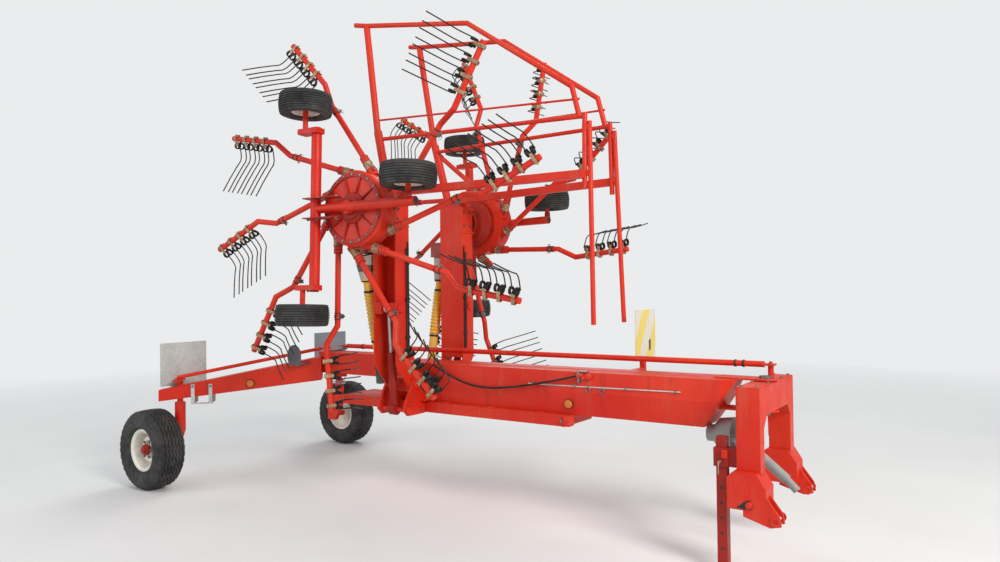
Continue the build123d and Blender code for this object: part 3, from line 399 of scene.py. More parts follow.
@dataclass(frozen=True)
class Plastic:
    """Moulded plastic, chalky from the weather."""

    name: str
    fresh: Colour
    chalky: Colour
    rough: float = 0.5
    grime: Colour = (84, 74, 62)

    def material(self) -> bpy.types.Material:
        """Build the plastic's nodes."""
        desk = NodeDesk(self.name)
        share = desk.sum(desk.patches(4.0, 6.0, 0.4, 0.7, 0.6), desk.facing(0.3, 1.0))
        base = desk.mix(share, self.fresh, self.chalky)
        desk.colour(desk.mix(desk.patches(15.0, 8.0, 0.58, 0.82, 0.5, 0.7), base, self.grime))
        desk.sheen(25.0, 4.0, self.rough - 0.08, self.rough + 0.12)
        desk.bump(desk.noise(180.0, 3.0), 0.0005, 0.3)
        return desk.material


@dataclass(frozen=True)
class StripedBoard:
    """White board with slanted pale yellow stripes."""

    name: str
    white: Colour = (216, 212, 196)
    stripe: Colour = (224, 204, 104)
    grime: Colour = (150, 138, 112)
    pitch: float = 0.26
    slope: float = -0.62

    def material(self) -> bpy.types.Material:
        """Build the board's nodes."""
        desk = NodeDesk(self.name)
        slanted = desk.add("ShaderNodeMath", operation="MULTIPLY_ADD")
        desk.link(desk.height("Z"), slanted.inputs[0])
        slanted.inputs[1].default_value = self.slope
        desk.link(desk.height("Y"), slanted.inputs[2])
        wave = desk.add("ShaderNodeMath", operation="WRAP")
        desk.link(slanted.outputs[0], wave.inputs[0])
        wave.inputs[1].default_value = self.pitch
        wave.inputs[2].default_value = 0.0
        stripes = desk.band(wave.outputs[0], self.pitch * 0.49, self.pitch * 0.51)
        base = desk.mix(stripes, self.white, self.stripe)
        desk.colour(desk.mix(desk.patches(9.0, 8.0, 0.52, 0.85, 0.35, 0.7), base, self.grime))
        desk.set(Roughness=0.35)
        desk.bump(desk.noise(90.0, 3.0), 0.0004, 0.2)
        return desk.material


@dataclass(frozen=True)
class ZonedGuard:
    """A shaft guard whose sections have their own colours by height above the ground, with a band of painted shade
    across its grey cone.
    """

    name: str
    lowest: Colour = (30, 29, 28)
    zones: tuple[tuple[float, Colour], ...] = (  # where each begins, in metres, and its colour
        # the black band from 1.852 to 1.905 m is painted shade across the grey cone
        (1.068, (226, 176, 44)), (1.792, (176, 174, 164)), (1.852, (30, 30, 31)),
        (1.905, (176, 174, 164)), (1.990, (150, 38, 26)))
    chalk: Colour = (206, 196, 172)
    grime: Colour = (84, 70, 54)

    def material(self) -> bpy.types.Material:
        """Build the guard's nodes."""
        desk = NodeDesk(self.name)
        level = desk.height("Z")
        colour: Socket | Colour = self.lowest
        for height, tone in self.zones:
            colour = desk.mix(desk.band(level, height - 0.001, height + 0.001), colour, tone)
        pale = desk.mix(desk.patches(4.0, 6.0, 0.45, 0.75, 0.30), colour, self.chalk)
        desk.colour(desk.mix(desk.patches(15.0, 8.0, 0.55, 0.82, 0.55, 0.7), pale, self.grime))
        desk.sheen(25.0, 4.0, 0.40, 0.62)
        desk.bump(desk.noise(180.0, 3.0), 0.0005, 0.3)
        return desk.material


@dataclass(frozen=True)
class Lens:
    """Moulded reflector lens with its fine prisms."""

    name: str
    colour: Colour = (238, 132, 14)
    deep: Colour = (150, 62, 4)

    def material(self) -> bpy.types.Material:
        """Build the lens's nodes."""
        desk = NodeDesk(self.name)
        prisms = desk.cells(320.0).outputs["Distance"]
        desk.colour(desk.mix(desk.band(prisms, 0.0, 0.6, 0.0, 0.5), self.colour, self.deep))
        desk.bump(prisms, 0.0008, 0.5)
        desk.set(Roughness=0.14, Coat_Weight=0.5, Coat_Roughness=0.05)
        return desk.material


class Finish(NamedTuple):
    """A built material and the record's slot for the pieces that wear it."""

    material: bpy.types.Material
    slot: str


class Finishes:
    """Every finish of the machine, each built once."""

    def __init__(self) -> None:
        """Build them all."""
        self.red = Finish(Paint("machine_red", (204, 34, 14), (216, 58, 30)).material(), "red_paint")
        # a darker copy of the machine red: painted shade, worn by the parts that lie in shadow
        self.painted_shade_red = Finish(Paint("shaded_red", (148, 28, 18), (178, 44, 28), chips=0.64).material(), "red_paint")
        self.rim = Finish(Paint("rim_cream", (222, 218, 205), (236, 232, 220), dust=(150, 128, 100),
                                grime=(120, 96, 70)).material(), "rim_paint")
        # the plate's last colour is painted shade on the left-hand plates
        self.plate = Finish(Zinc("galvanised_plate", (206, 212, 208), (160, 168, 164), 120.0, 0.05,
                                 (122, 130, 142)).material(), "zinc")
        self.bolt = Finish(Zinc("plated_bolts", (150, 148, 140), (94, 88, 78), 260.0, 0.8).material(), "zinc")
        self.bushing = Finish(Zinc("rusty_bushing", (196, 168, 132), (104, 66, 42), 90.0, 0.45).material(), "zinc")
        self.chrome = Finish(Zinc("rod_chrome", (206, 207, 208), (184, 184, 184), 4.0, 1.0).material(), "zinc")
        self.tyre = Finish(Rubber("tyre_rubber").material(), "tyre")
        self.hose = Finish(Rubber("hose_rubber", (20, 19, 19), (48, 42, 38), (104, 84, 66), 0.25).material(),
                           "black_plastic")
        self.wire = Finish(SpringSteel("tine_wire").material(), "tine_steel")
        self.guard = Finish(ZonedGuard("shaft_guard").material(), "yellow_guard")
        self.shield = Finish(Plastic("shield_grey", (70, 72, 76), (104, 106, 108), 0.6).material(), "grey_plastic")
        self.grey = Finish(Plastic("cone_grey", (128, 130, 130), (158, 158, 154), 0.6).material(), "grey_plastic")
        self.black = Finish(Plastic("black_moulding", (24, 24, 25), (52, 52, 52), 0.55).material(), "black_plastic")
        self.board = Finish(StripedBoard("striped_board").material(), "board")
        self.amber = Finish(Lens("amber_lens").material(), "yellow_guard")


def dress(node: str, finish: Finish) -> None:
    """Give a carried-over node one finish all over."""
    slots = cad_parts[node].data.materials
    slots.clear()
    slots.append(finish.material)


def stand(name: str, data: bpy.types.ID) -> bpy.types.Object:
    """Put data into the scene as an object."""
    obj = bpy.data.objects.new(name, data)
    bpy.context.scene.collection.objects.link(obj)
    return obj


def piece(name: str, mesh: Shape, body: str, finish: Finish, smooth: float = 35.0) -> bpy.types.Object:
    """Turn a finished bmesh into a piece that rides on a body.

    Args:
        name: the piece's name.
        mesh: its shape, in the machine's frame; it is freed here.
        body: the body that carries it.
        finish: its material and slot.
        smooth: the largest angle that is shaded smooth, in degrees.

    Returns:
        The new object.
    """
    bmesh.ops.remove_doubles(mesh, verts=mesh.verts, dist=1e-6)
    bmesh.ops.recalc_face_normals(mesh, faces=mesh.faces)
    for face in mesh.faces:
        face.smooth = True
    for edge in mesh.edges:
        if len(edge.link_faces) == 2 and edge.calc_face_angle(0.0) > math.radians(smooth):
            edge.smooth = False
    data = bpy.data.meshes.new(name)
    mesh.to_mesh(data)
    mesh.free()
    data.materials.append(finish.material)
    obj = stand(name, data)
    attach(obj, body)
    log.info("%s: %d faces", name, len(data.polygons))
    return obj


def soften(mesh: Shape, edges: Iterable[bmesh.types.BMEdge], width: float, segments: int = 2) -> dict:
    """Bevel edges and give back what the operator made."""
    return bmesh.ops.bevel(mesh, geom=list(edges), offset=width, affect="EDGES", segments=segments,
                           profile=0.5, material=-1)


def disc(mesh: Shape, place: Matrix, low: float, high: float, height: float, segments: int = 16,
         bevel: float = 0.0) -> None:
    """Add a round boss or cone that stands on a place.

    Args:
        mesh: the shape that takes it.
        place: its foot, with Z along its axis.
        low: radius at the foot.
        high: radius at the far end.
        height: its length.
        segments: how many sides it has.
        bevel: width of the bevel on its two rims.
    """
    made = bmesh.ops.create_cone(mesh, cap_ends=True, segments=segments, radius1=low, radius2=high,
                                 depth=height, matrix=place @ at(0, 0, height / 2))
    if bevel:
        soften(mesh, {e for v in made["verts"] for e in v.link_edges if e.calc_face_angle(0.0) > 0.9}, bevel)


def bolt(mesh: Shape, place: Matrix, size: float) -> None:
    """Add a hexagon bolt head on its washer."""
    disc(mesh, place, size * 1.15, size * 1.15, size * 0.22, 16)
    disc(mesh, place @ at(0, 0, size * 0.22), size, size * 0.97, size * 0.75, 6)


def bolts(mesh: Shape, out: Matrix, points: Iterable[Vector | Point], facing: Point, size: float) -> None:
    """Add a bolt at each point, all facing one way before the side's mirror."""
    for point in points:
        bolt(mesh, out @ frame_at(point, facing), size)


def slab(mesh: Shape, low: Vector | Point, high: Vector | Point, bevel: float, place: Matrix | None = None) -> None:
    """Add a bevelled plate or block between two corners."""
    low, high = Vector(low), Vector(high)
    made = bmesh.ops.create_cube(mesh, size=1.0, matrix=Matrix.Translation((low + high) / 2)
                                 @ Matrix.Diagonal((*(high - low), 1.0)))
    grown = soften(mesh, {e for v in made["verts"] for e in v.link_edges}, bevel)
    if place is not None:
        bmesh.ops.transform(mesh, matrix=place, verts=grown["verts"])


def raise_faces(mesh: Shape, faces: list[bmesh.types.BMFace], move: Vector) -> list[bmesh.types.BMVert]:
    """Extrude faces by a move and give back the raised corners."""
    grown = bmesh.ops.extrude_face_region(mesh, geom=faces)
    raised = [item for item in grown["geom"] if isinstance(item, bmesh.types.BMVert)]
    bmesh.ops.translate(mesh, verts=raised, vec=move)
    return raised


def plate(mesh: Shape, corners: Iterable[Pair], thickness: float, place: Matrix, bevel: float = 0.0) -> None:
    """Add a flat plate cut to an outline.

    Args:
        mesh: the shape that takes it.
        corners: the outline's (X, Y) points in the place's own plane, in order.
        thickness: how far it reaches along the place's Z.
        place: where its lower face lies.
        bevel: width of the bevel round its edges.
    """
    start = [mesh.verts.new(place @ Vector((x, y, 0))) for x, y in corners]
    raised = raise_faces(mesh, [mesh.faces.new(start)], place.to_3x3() @ Vector((0, 0, thickness)))
    if bevel:
        soften(mesh, {edge for vert in start + raised for edge in vert.link_edges}, bevel, 1)


def revolve(mesh: Shape, outline: list[Pair], place: Matrix, steps: int = 48) -> None:
    """Spin a closed outline of (radius, along) points about Z.

    Args:
        mesh: the shape that takes it.
        outline: the section's points in order.
        place: where the axis stands.
        steps: how many steps make the turn.
    """
    corners = [mesh.verts.new(place @ Vector((radius, 0, along))) for radius, along in outline]
    edges = [mesh.edges.new((a, b)) for a, b in zip(corners, corners[1:] + corners[:1])]
    bmesh.ops.spin(mesh, geom=corners + edges, cent=place.translation,
                   axis=place.to_3x3() @ Vector((0, 0, 1)), angle=math.tau, steps=steps, use_merge=True)


def ring(mesh: Shape, place: Matrix, inner: float, outer: float, height: float, steps: int = 24) -> None:
    """Add a flat ring that stands on a place, with small chamfers on its outer rims."""
    cut = min(0.15 * height, 0.2 * (outer - inner))
    revolve(mesh, [(inner, 0.0), (outer - cut, 0.0), (outer, cut), (outer, height - cut),
                   (outer - cut, height), (inner, height)], place, steps)


def tube(mesh: Shape, points: list[Vector], radius: float, sides: int = 8) -> None:
    """Add a round tube along a list of points, closed at both ends.

    Args:
        mesh: the shape that takes it.
        points: the tube's centreline.
        radius: its radius.
        sides: how many sides it has.
    """
    loops = []
    steer = Vector((0, 0, 1)) if abs((points[1] - points[0]).normalized().z) < 0.9 else Vector((1, 0, 0))
    for index, point in enumerate(points):
        along = (points[min(index + 1, len(points) - 1)] - points[max(index - 1, 0)]).normalized()
        side = along.cross(steer).normalized()
        steer = side.cross(along)
        made = bmesh.ops.create_circle(mesh, segments=sides, radius=radius,
                                       matrix=Matrix.Translation(point) @ axes(side, steer, along))
        loops.append(list({e for v in made["verts"] for e in v.link_edges}))
    for near, far in zip(loops, loops[1:]):
        bmesh.ops.bridge_loops(mesh, edges=near + far)
    for end in (loops[0], loops[-1]):
        bmesh.ops.contextual_create(mesh, geom=end)


@dataclass
class BeamHose:
    """The hose that sags along the beam's near side, from one of its fittings to the other."""

    looks: Finishes
    diameter: float = 0.016
    length: float = 1.338
    side_y: float = -0.192
    route: tuple[Pair, ...] = (  # X from the axle, Z
        (2.400, 1.102), (2.520, 1.046), (2.660, 0.990), (2.810, 0.957), (2.960, 0.951),
        (3.110, 0.966), (3.260, 0.989), (3.420, 1.019), (3.570, 1.052), (3.700, 1.083))

    def build(self) -> None:
        data = bpy.data.curves.new("sagging_hose", "CURVE")
        data.dimensions = "3D"
        line = data.splines.new("NURBS")
        line.points.add(len(self.route) - 1)
        for knot, (x, z) in zip(line.points, self.route):
            knot.co = (*spot(x, self.side_y, z), 1.0)
        line.order_u = 3
        line.use_endpoint_u = True
        data.resolution_u = 10
        data.bevel_depth = self.diameter / 2
        data.bevel_resolution = 3
        data.use_fill_caps = True
        data.materials.append(self.looks.hose.material)
        hose = stand("sagging_hose", data)
        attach(hose, "chassis")
        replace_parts(hose, "beam_hose")
        log.info("sagging_hose: %.3f m", self.length)


@dataclass
class RotorWheels:
    """The three ribbed tyres and cream rims under each rotor."""

    looks: Finishes
    radius: float = 0.205
    width: float = 0.165
    rim_radius: float = 0.105
    axle_z: float = -0.187
    ribs: int = 7
    groove: float = 0.007
    places: dict[str, Pair] = field(default_factory=lambda: {
        "rear_outer": (-0.372, -0.795), "rear_inner": (-0.372, 0.795), "front": (0.595, -0.174)})

    def outline(self) -> list[Pair]:
        """The tyre's section: bead, round wall and a ribbed crown."""
        half = self.width / 2
        crown = self.radius - 0.004
        wall = [(self.rim_radius + 0.002, -0.72 * half), (self.rim_radius + 0.018, -0.93 * half),
                (self.rim_radius + 0.045, -0.995 * half), (self.radius - 0.032, -0.985 * half),
                (self.radius - 0.014, -0.90 * half)]
        points = list(wall)
        pitch = 1.5 * half / self.ribs
        for rib in range(self.ribs):
            start = -0.75 * half + rib * pitch
            level = crown - 0.012 * ((start + pitch / 2) / half) ** 2
            points += [(level - self.groove, start + 0.12 * pitch), (level, start + 0.2 * pitch),
                       (level, start + 0.8 * pitch), (level - self.groove, start + 0.88 * pitch)]
        return points + [(radius, -along) for radius, along in reversed(wall)]

    def build(self, side: Side) -> None:
        """Make one side's wheels."""
        for name, (x, y) in self.places.items():
            body = side.of(f"{name}_wheel")
            place = rotor_place(side) @ at(x, y, self.axle_z) @ turned(QUARTER, "X")
            mesh = bmesh.new()
            revolve(mesh, self.outline(), place, 64)
            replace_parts(piece(side.of(f"{name}_ribbed_tyre"), mesh, body, self.looks.tyre), side.of(f"{name}_tyre"))
            mesh = bmesh.new()
            for nut in around(4, 0.048, 0.0):
                bolt(mesh, place @ nut, 0.010)
            disc(mesh, place @ at(0, 0, 0.028), 0.030, 0.026, 0.016, 24, 0.003)
            piece(side.of(f"{name}_wheel_bolts"), mesh, body, self.looks.bolt)
            dress(side.of(f"{name}_rim"), self.looks.rim)


@dataclass
class RoadWheels:
    """The two road wheels: tyres with zigzag grooves and shoulder cuts, cream rims, hubs and nuts."""

    looks: Finishes
    radius: float = 0.345
    width: float = 0.250
    rim_radius: float = 0.183
    track_half: float = 1.150
    zigzags: int = 34
    steps_each: int = 4
    grooves: tuple[float, ...] = (-0.62, -0.37, -0.125, 0.125, 0.37, 0.62)
    groove_half: float = 0.0050
    groove_depth: float = 0.0100
    swing: float = 0.0070
    shoulder_cut: float = 0.008

    def outline(self) -> list[Pair]:
        """The tyre's section: bead, wall with its rim guard, and a grooved crown."""
        half = self.width / 2
        wall = [(self.rim_radius + out, -share * half) for out, share in (
            (0.002, 0.72), (0.014, 0.86), (0.020, 0.93), (0.030, 0.94), (0.042, 0.985), (0.078, 0.992),
            (0.108, 0.985), (0.116, 0.95))]
        wall += [(self.radius - 0.030, -0.92 * half), (self.radius - 0.012, -0.78 * half)]
        crowns = []
        for share in self.grooves:
            level = self.radius - 0.002 - 0.006 * (share * 1.4) ** 2
            for drop, reach in ((0.0, -1.0), (self.groove_depth, -0.6), (self.groove_depth, 0.6), (0.0, 1.0)):
                crowns.append((level - drop, share * half + self.groove_half * reach))
        return wall + crowns + [(radius, -along) for radius, along in reversed(wall)]

    def tread(self, mesh: Shape, place: Matrix) -> None:
        """Swing the grooves from side to side round the crown and cut the shoulders into blocks."""
        half = self.width / 2
        inverse = place.inverted()
        steps = self.zigzags * self.steps_each
        swings = (0.0, 1.0, 0.0, -1.0)
        for vert in mesh.verts:
            point = inverse @ vert.co
            out = math.hypot(point.x, point.y)
            step = round(math.atan2(point.y, point.x) / math.tau * steps) % steps
            if out > self.radius - 0.022 and abs(point.z) < 0.68 * half:
                point.z += self.swing * swings[step % 4]
            elif out > self.radius - 0.034 and 0.70 * half < abs(point.z) < 0.94 * half and step % 4 == 0:
                point.x *= (out - self.shoulder_cut) / out
                point.y *= (out - self.shoulder_cut) / out
            vert.co = place @ point

    def build(self, side: Side) -> None:
        """Make one road wheel."""
        place = at(WHEEL_X, side.value * self.track_half, self.radius) @ turned(side.value * -QUARTER, "X")
        body = side.of("main_wheel")
        mesh = bmesh.new()
        revolve(mesh, self.outline(), place, self.zigzags * self.steps_each)
        bmesh.ops.remove_doubles(mesh, verts=mesh.verts, dist=1e-6)
        self.tread(mesh, place)
        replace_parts(piece(side.of("road_tyre"), mesh, body, self.looks.tyre, 28.0), side.of("main_tyre"))
        mesh = bmesh.new()
        for nut in around(6, 0.070, 0.0455):
            bolt(mesh, place @ nut, 0.011)
        piece(side.of("road_wheel_nuts"), mesh, body, self.looks.bolt)
        mesh = bmesh.new()
        disc(mesh, place @ at(0, 0, 0.050), 0.052, 0.046, 0.022, 32, 0.004)
        disc(mesh, place @ at(0, 0, 0.072), 0.030, 0.026, 0.016, 24, 0.003)
        # the hub cap wears the darker red of painted shade
        piece(side.of("hub_cap"), mesh, body, self.looks.painted_shade_red)
        mesh = bmesh.new()
        ring(mesh, place @ at(0, 0, 0.0205), 0.078, 0.112, 0.004, 40)
        for patch in around(4, 0.128, 0.0195, 0.5):
            disc(mesh, place @ patch, 0.009, 0.009, 0.0015, 14)
        piece(side.of("rim_disc"), mesh, body, self.looks.rim)
        dress(side.of("main_rim"), self.looks.rim)


@dataclass
class Tines:
    """The double spring tines of a rotor's arms, wound from one wire each, and their clamps."""

    looks: Finishes
    jog_end: Pair = (1.018, 0.310)
    tip: Pair = (1.516, 0.248)
    tube_radius: float = 0.022
    coil_radius: float = 0.031
    coil_gap: float = 0.009
    wire: float = 0.0048
    bridge_half: float = 0.010
    half_pitch: float = 0.032
    turns: int = 3
    turn_steps: int = 10
    rise: float = 0.122
    end_length: float = 0.330
    end_bend: float = math.radians(58.0)
    end_sag: float = 0.008
    end_gap: float = 0.042
    pair_pitch: float = 0.112
    pairs: int = 4
    clamp_plates: tuple[tuple[Point, Point], ...] = (  # low and high corner
        ((-0.013, -0.052, -0.0275), (0.013, 0.027, -0.0225)),
        ((-0.013, -0.052, 0.0225), (0.013, 0.027, 0.0275)),
        ((-0.017, 0.0225, -0.0285), (0.017, 0.0275, 0.0285)))

    def wire_path(self, hand: int) -> list[Vector]:
        """One half of a double tine, from its middle bridge out to its tip.

        Args:
            hand: -1 or 1, the half's side along the arm.

        Returns:
            The wire's centreline in the arm's frame, X along the arm.
        """
        drop = self.tube_radius + self.coil_gap + self.coil_radius
        mean = self.coil_radius - self.wire
        whole = self.turns * self.turn_steps
        path = []
        for step in range(whole + 1):
            angle = step / self.turn_steps * math.tau
            x = hand * (self.bridge_half + (self.half_pitch - self.bridge_half) * step / whole)
            path.append(Vector((x, -drop + mean * math.sin(angle), mean * math.cos(angle))))
        x = hand * self.half_pitch
        knee = -drop - self.rise
        out, down = self.end_length * math.cos(self.end_bend), self.end_length * math.sin(self.end_bend)
        bends = [(knee + 0.055, mean * 0.55), (knee + 0.018, 0.004), (knee - 0.012, -0.017)]
        bends += [(knee - out * share, -down * share - self.end_sag * math.sin(math.pi * share))
                  for share in (0.25, 0.6, 1.0)]
        return path + [Vector((x, y, z)) for y, z in bends]

    def places(self, side: Side) -> list[Matrix]:
        """Where each double tine of a rotor sits, with X along its arm."""
        along = Vector((self.tip[0] - self.jog_end[0], self.tip[1] - self.jog_end[1], 0)).normalized()
        lie = axes(along, (-along.y, along.x, 0), (0, 0, 1))
        found = []
        for number, twist in enumerate(ARM_TWISTS[side]):
            if twist is None:
                continue
            for pair in range(self.pairs):
                centre = Vector((*self.tip, 0)) - along * (self.end_gap + pair * self.pair_pitch)
                found.append(rotor_place(side) @ arm_turn(side, number) @ Matrix.Translation(centre) @ lie
                             @ turned(math.radians(-twist), "X"))
        return found

    def build(self, side: Side) -> None:
        """Make one rotor's tines and the clamps that hold them."""
        wires, clamps = bmesh.new(), bmesh.new()
        for place in self.places(side):
            for hand in (-1, 1):
                tube(wires, [place @ point for point in self.wire_path(hand)], self.wire, 5)
            for low, high in self.clamp_plates:
                slab(clamps, low, high, 0.002, place)
            bolt(clamps, place @ at(0, 0.0275, 0) @ turned(-QUARTER, "X"), 0.009)
        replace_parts(piece(side.of("spring_tines"), wires, side.of("rotor"), self.looks.wire), side.of("tines"))
        piece(side.of("tine_clamps"), clamps, side.of("rotor"), self.looks.bushing)


@dataclass
class Rotors:
    """What shows on a turning hub: ribs, bolts, the arms' bushings and the locks on the arms."""

    looks: Finishes
    offset: float = 0.240
    height: float = 0.046
    hub_bottom: float = -0.070
    hub_top: float = 0.110
    lock_at: float = 0.800
    cap: tuple[Pair, ...] = (  # radius, along
        (0.054, 0.0), (0.118, 0.0), (0.112, 0.012), (0.090, 0.020), (0.084, 0.034), (0.054, 0.034))
    rib: tuple[Pair, ...] = ((0.100, 0.0), (0.240, 0.0), (0.240, 0.008), (0.110, 0.020))
    socket_lug: tuple[Pair, ...] = ((-0.030, 0.020), (0.030, 0.020), (0.030, 0.030), (-0.030, 0.030))
    bushing: tuple[Pair, ...] = (  # radius, along
        (0.0325, 0.196), (0.0385, 0.196), (0.0385, 0.208), (0.0355, 0.211),
        (0.0355, 0.246), (0.0375, 0.249), (0.0375, 0.258), (0.0325, 0.258))
    lock_ear: tuple[Pair, ...] = ((-0.040, -0.018), (0.006, -0.018), (0.014, 0.0), (0.006, 0.018), (-0.040, 0.018))

    def arm(self, side: Side, number: int) -> Matrix:
        """One arm's root in the machine's frame, with Z along the arm."""
        return (rotor_place(side) @ arm_turn(side, number) @ at(0, self.offset, self.height)
                @ turned(QUARTER, "Y"))

    def hub(self, side: Side) -> None:
        """Make the ribs, rings and bolts on both faces of the hub."""
        head = rotor_place(side)
        below = head @ at(0, 0, self.hub_bottom) @ turned(math.pi, "X")
        above = head @ at(0, 0, self.hub_top)
        casting, heads = bmesh.new(), bmesh.new()
        revolve(casting, list(self.cap), below, 40)
        ring(casting, below, 0.236, 0.268, 0.010, 60)
        for number in range(ARM_COUNT):
            plate(casting, self.rib, 0.008,
                  below @ arm_turn(side, number + 0.5) @ at(0, 0.004, 0) @ turned(QUARTER, "X"))
        for place in around(20, 0.252, 0.010):
            bolt(heads, below @ place, 0.0075)
        for place in around(10, 0.215, -0.004, 0.5):
            bolt(heads, above @ place, 0.0085)
        for number in range(ARM_COUNT):
            root = self.arm(side, number)
            plate(casting, self.socket_lug, 0.034, root @ at(0, 0, 0.158))
            for across in (-0.018, 0.018):
                bolt(heads, root @ at(across, 0.030, 0.176) @ turned(-QUARTER, "X"), 0.0065)
        # the hub's underside ribs wear the darker red of painted shade
        piece(side.of("hub_ribs"), casting, side.of("rotor"), self.looks.painted_shade_red)
        piece(side.of("hub_bolts"), heads, side.of("rotor"), self.looks.bolt)

    def lock(self, mesh: Shape, place: Matrix) -> None:
        """Add one arm's lock: two ears, the pin with its head, and the pin's wire loop."""
        for across in (-0.026, 0.021):
            plate(mesh, self.lock_ear, 0.005, place @ at(0, across, 0) @ turned(-QUARTER, "X"), 0.001)
        for y, radius, length, sides in ((-0.034, 0.0045, 0.072, 8), (-0.040, 0.0085, 0.007, 10)):
            disc(mesh, place @ at(-0.030, y, 0) @ turned(-QUARTER, "X"), radius, radius, length, sides)
        tube(mesh, [place @ Vector((-0.030 - 0.017 * math.sin(turn * 0.45), 0.034,
                                    0.017 * (math.cos(turn * 0.45) - 1.0))) for turn in range(13)], 0.0016, 5)

    def roots(self, side: Side) -> None:
        """Make the bushing, the black seal rings and the lock of each arm."""
        bushings, seals, locks = bmesh.new(), bmesh.new(), bmesh.new()
        for number, twist in enumerate(ARM_TWISTS[side]):
            root = self.arm(side, number)
            revolve(bushings, list(self.bushing), root, 20)
            for along in (0.262, 0.290, 0.3145):
                ring(seals, root @ at(0, 0, along), 0.0320, 0.0345, 0.004, 20)
            if twist is None:
                continue
            for along in (-0.026, 0.020):
                ring(seals, root @ at(0, 0, self.lock_at + along), 0.0215, 0.0265, 0.006, 16)
            self.lock(locks, root @ at(0, 0, self.lock_at))
        piece(side.of("arm_bushings"), bushings, side.of("rotor"), self.looks.bushing)
        piece(side.of("arm_seals"), seals, side.of("rotor"), self.looks.black)
        piece(side.of("arm_locks"), locks, side.of("rotor"), self.looks.bolt)

    def build(self, side: Side) -> None:
        """Make one rotor's hub and arm roots."""
        self.hub(side)
        self.roots(side)


@dataclass
class DriveGuards:
    """The bellows and bands on the guarded shafts behind the booms."""

    looks: Finishes
    foot: Vector = field(default_factory=lambda: spot(1.950, -0.300, 0.950))
    top: Vector = field(default_factory=lambda: spot(1.950, -0.500, 1.985))
    ribs: int = 13
    rib_pitch: float = 0.030
    ribs_from: float = 0.360
    bore: float = 0.036
    rib: tuple[Pair, ...] = ((0.038, 0.002), (0.0465, 0.010), (0.0465, 0.018), (0.038, 0.028))  # radius, along
    collars: tuple[Point, ...] = (  # along, outer radius, height
        (0.118, 0.047, 0.022), (0.340, 0.044, 0.016), (0.752, 0.044, 0.016), (0.842, 0.052, 0.020))

    def build(self, side: Side) -> None:
        """Make one side's bellows and collars."""
        place = mirror_for(side) @ frame_at(self.foot, self.top - self.foot)
        starts = [self.ribs_from + rib * self.rib_pitch for rib in range(self.ribs + 1)]
        outline = [(self.bore, starts[0])]
        outline += [(radius, start + along) for start in starts[:-1] for radius, along in self.rib]
        outline.append((self.bore, starts[-1]))
        bellows, collars = bmesh.new(), bmesh.new()
        revolve(bellows, outline, place, 32)
        piece(side.of("guard_bellows"), bellows, side.of("boom"), self.looks.guard)
        for along, outer, height in self.collars:
            ring(collars, place @ at(0, 0, along), self.bore, outer, height, 32)
        piece(side.of("guard_collars"), collars, side.of("boom"), self.looks.black)


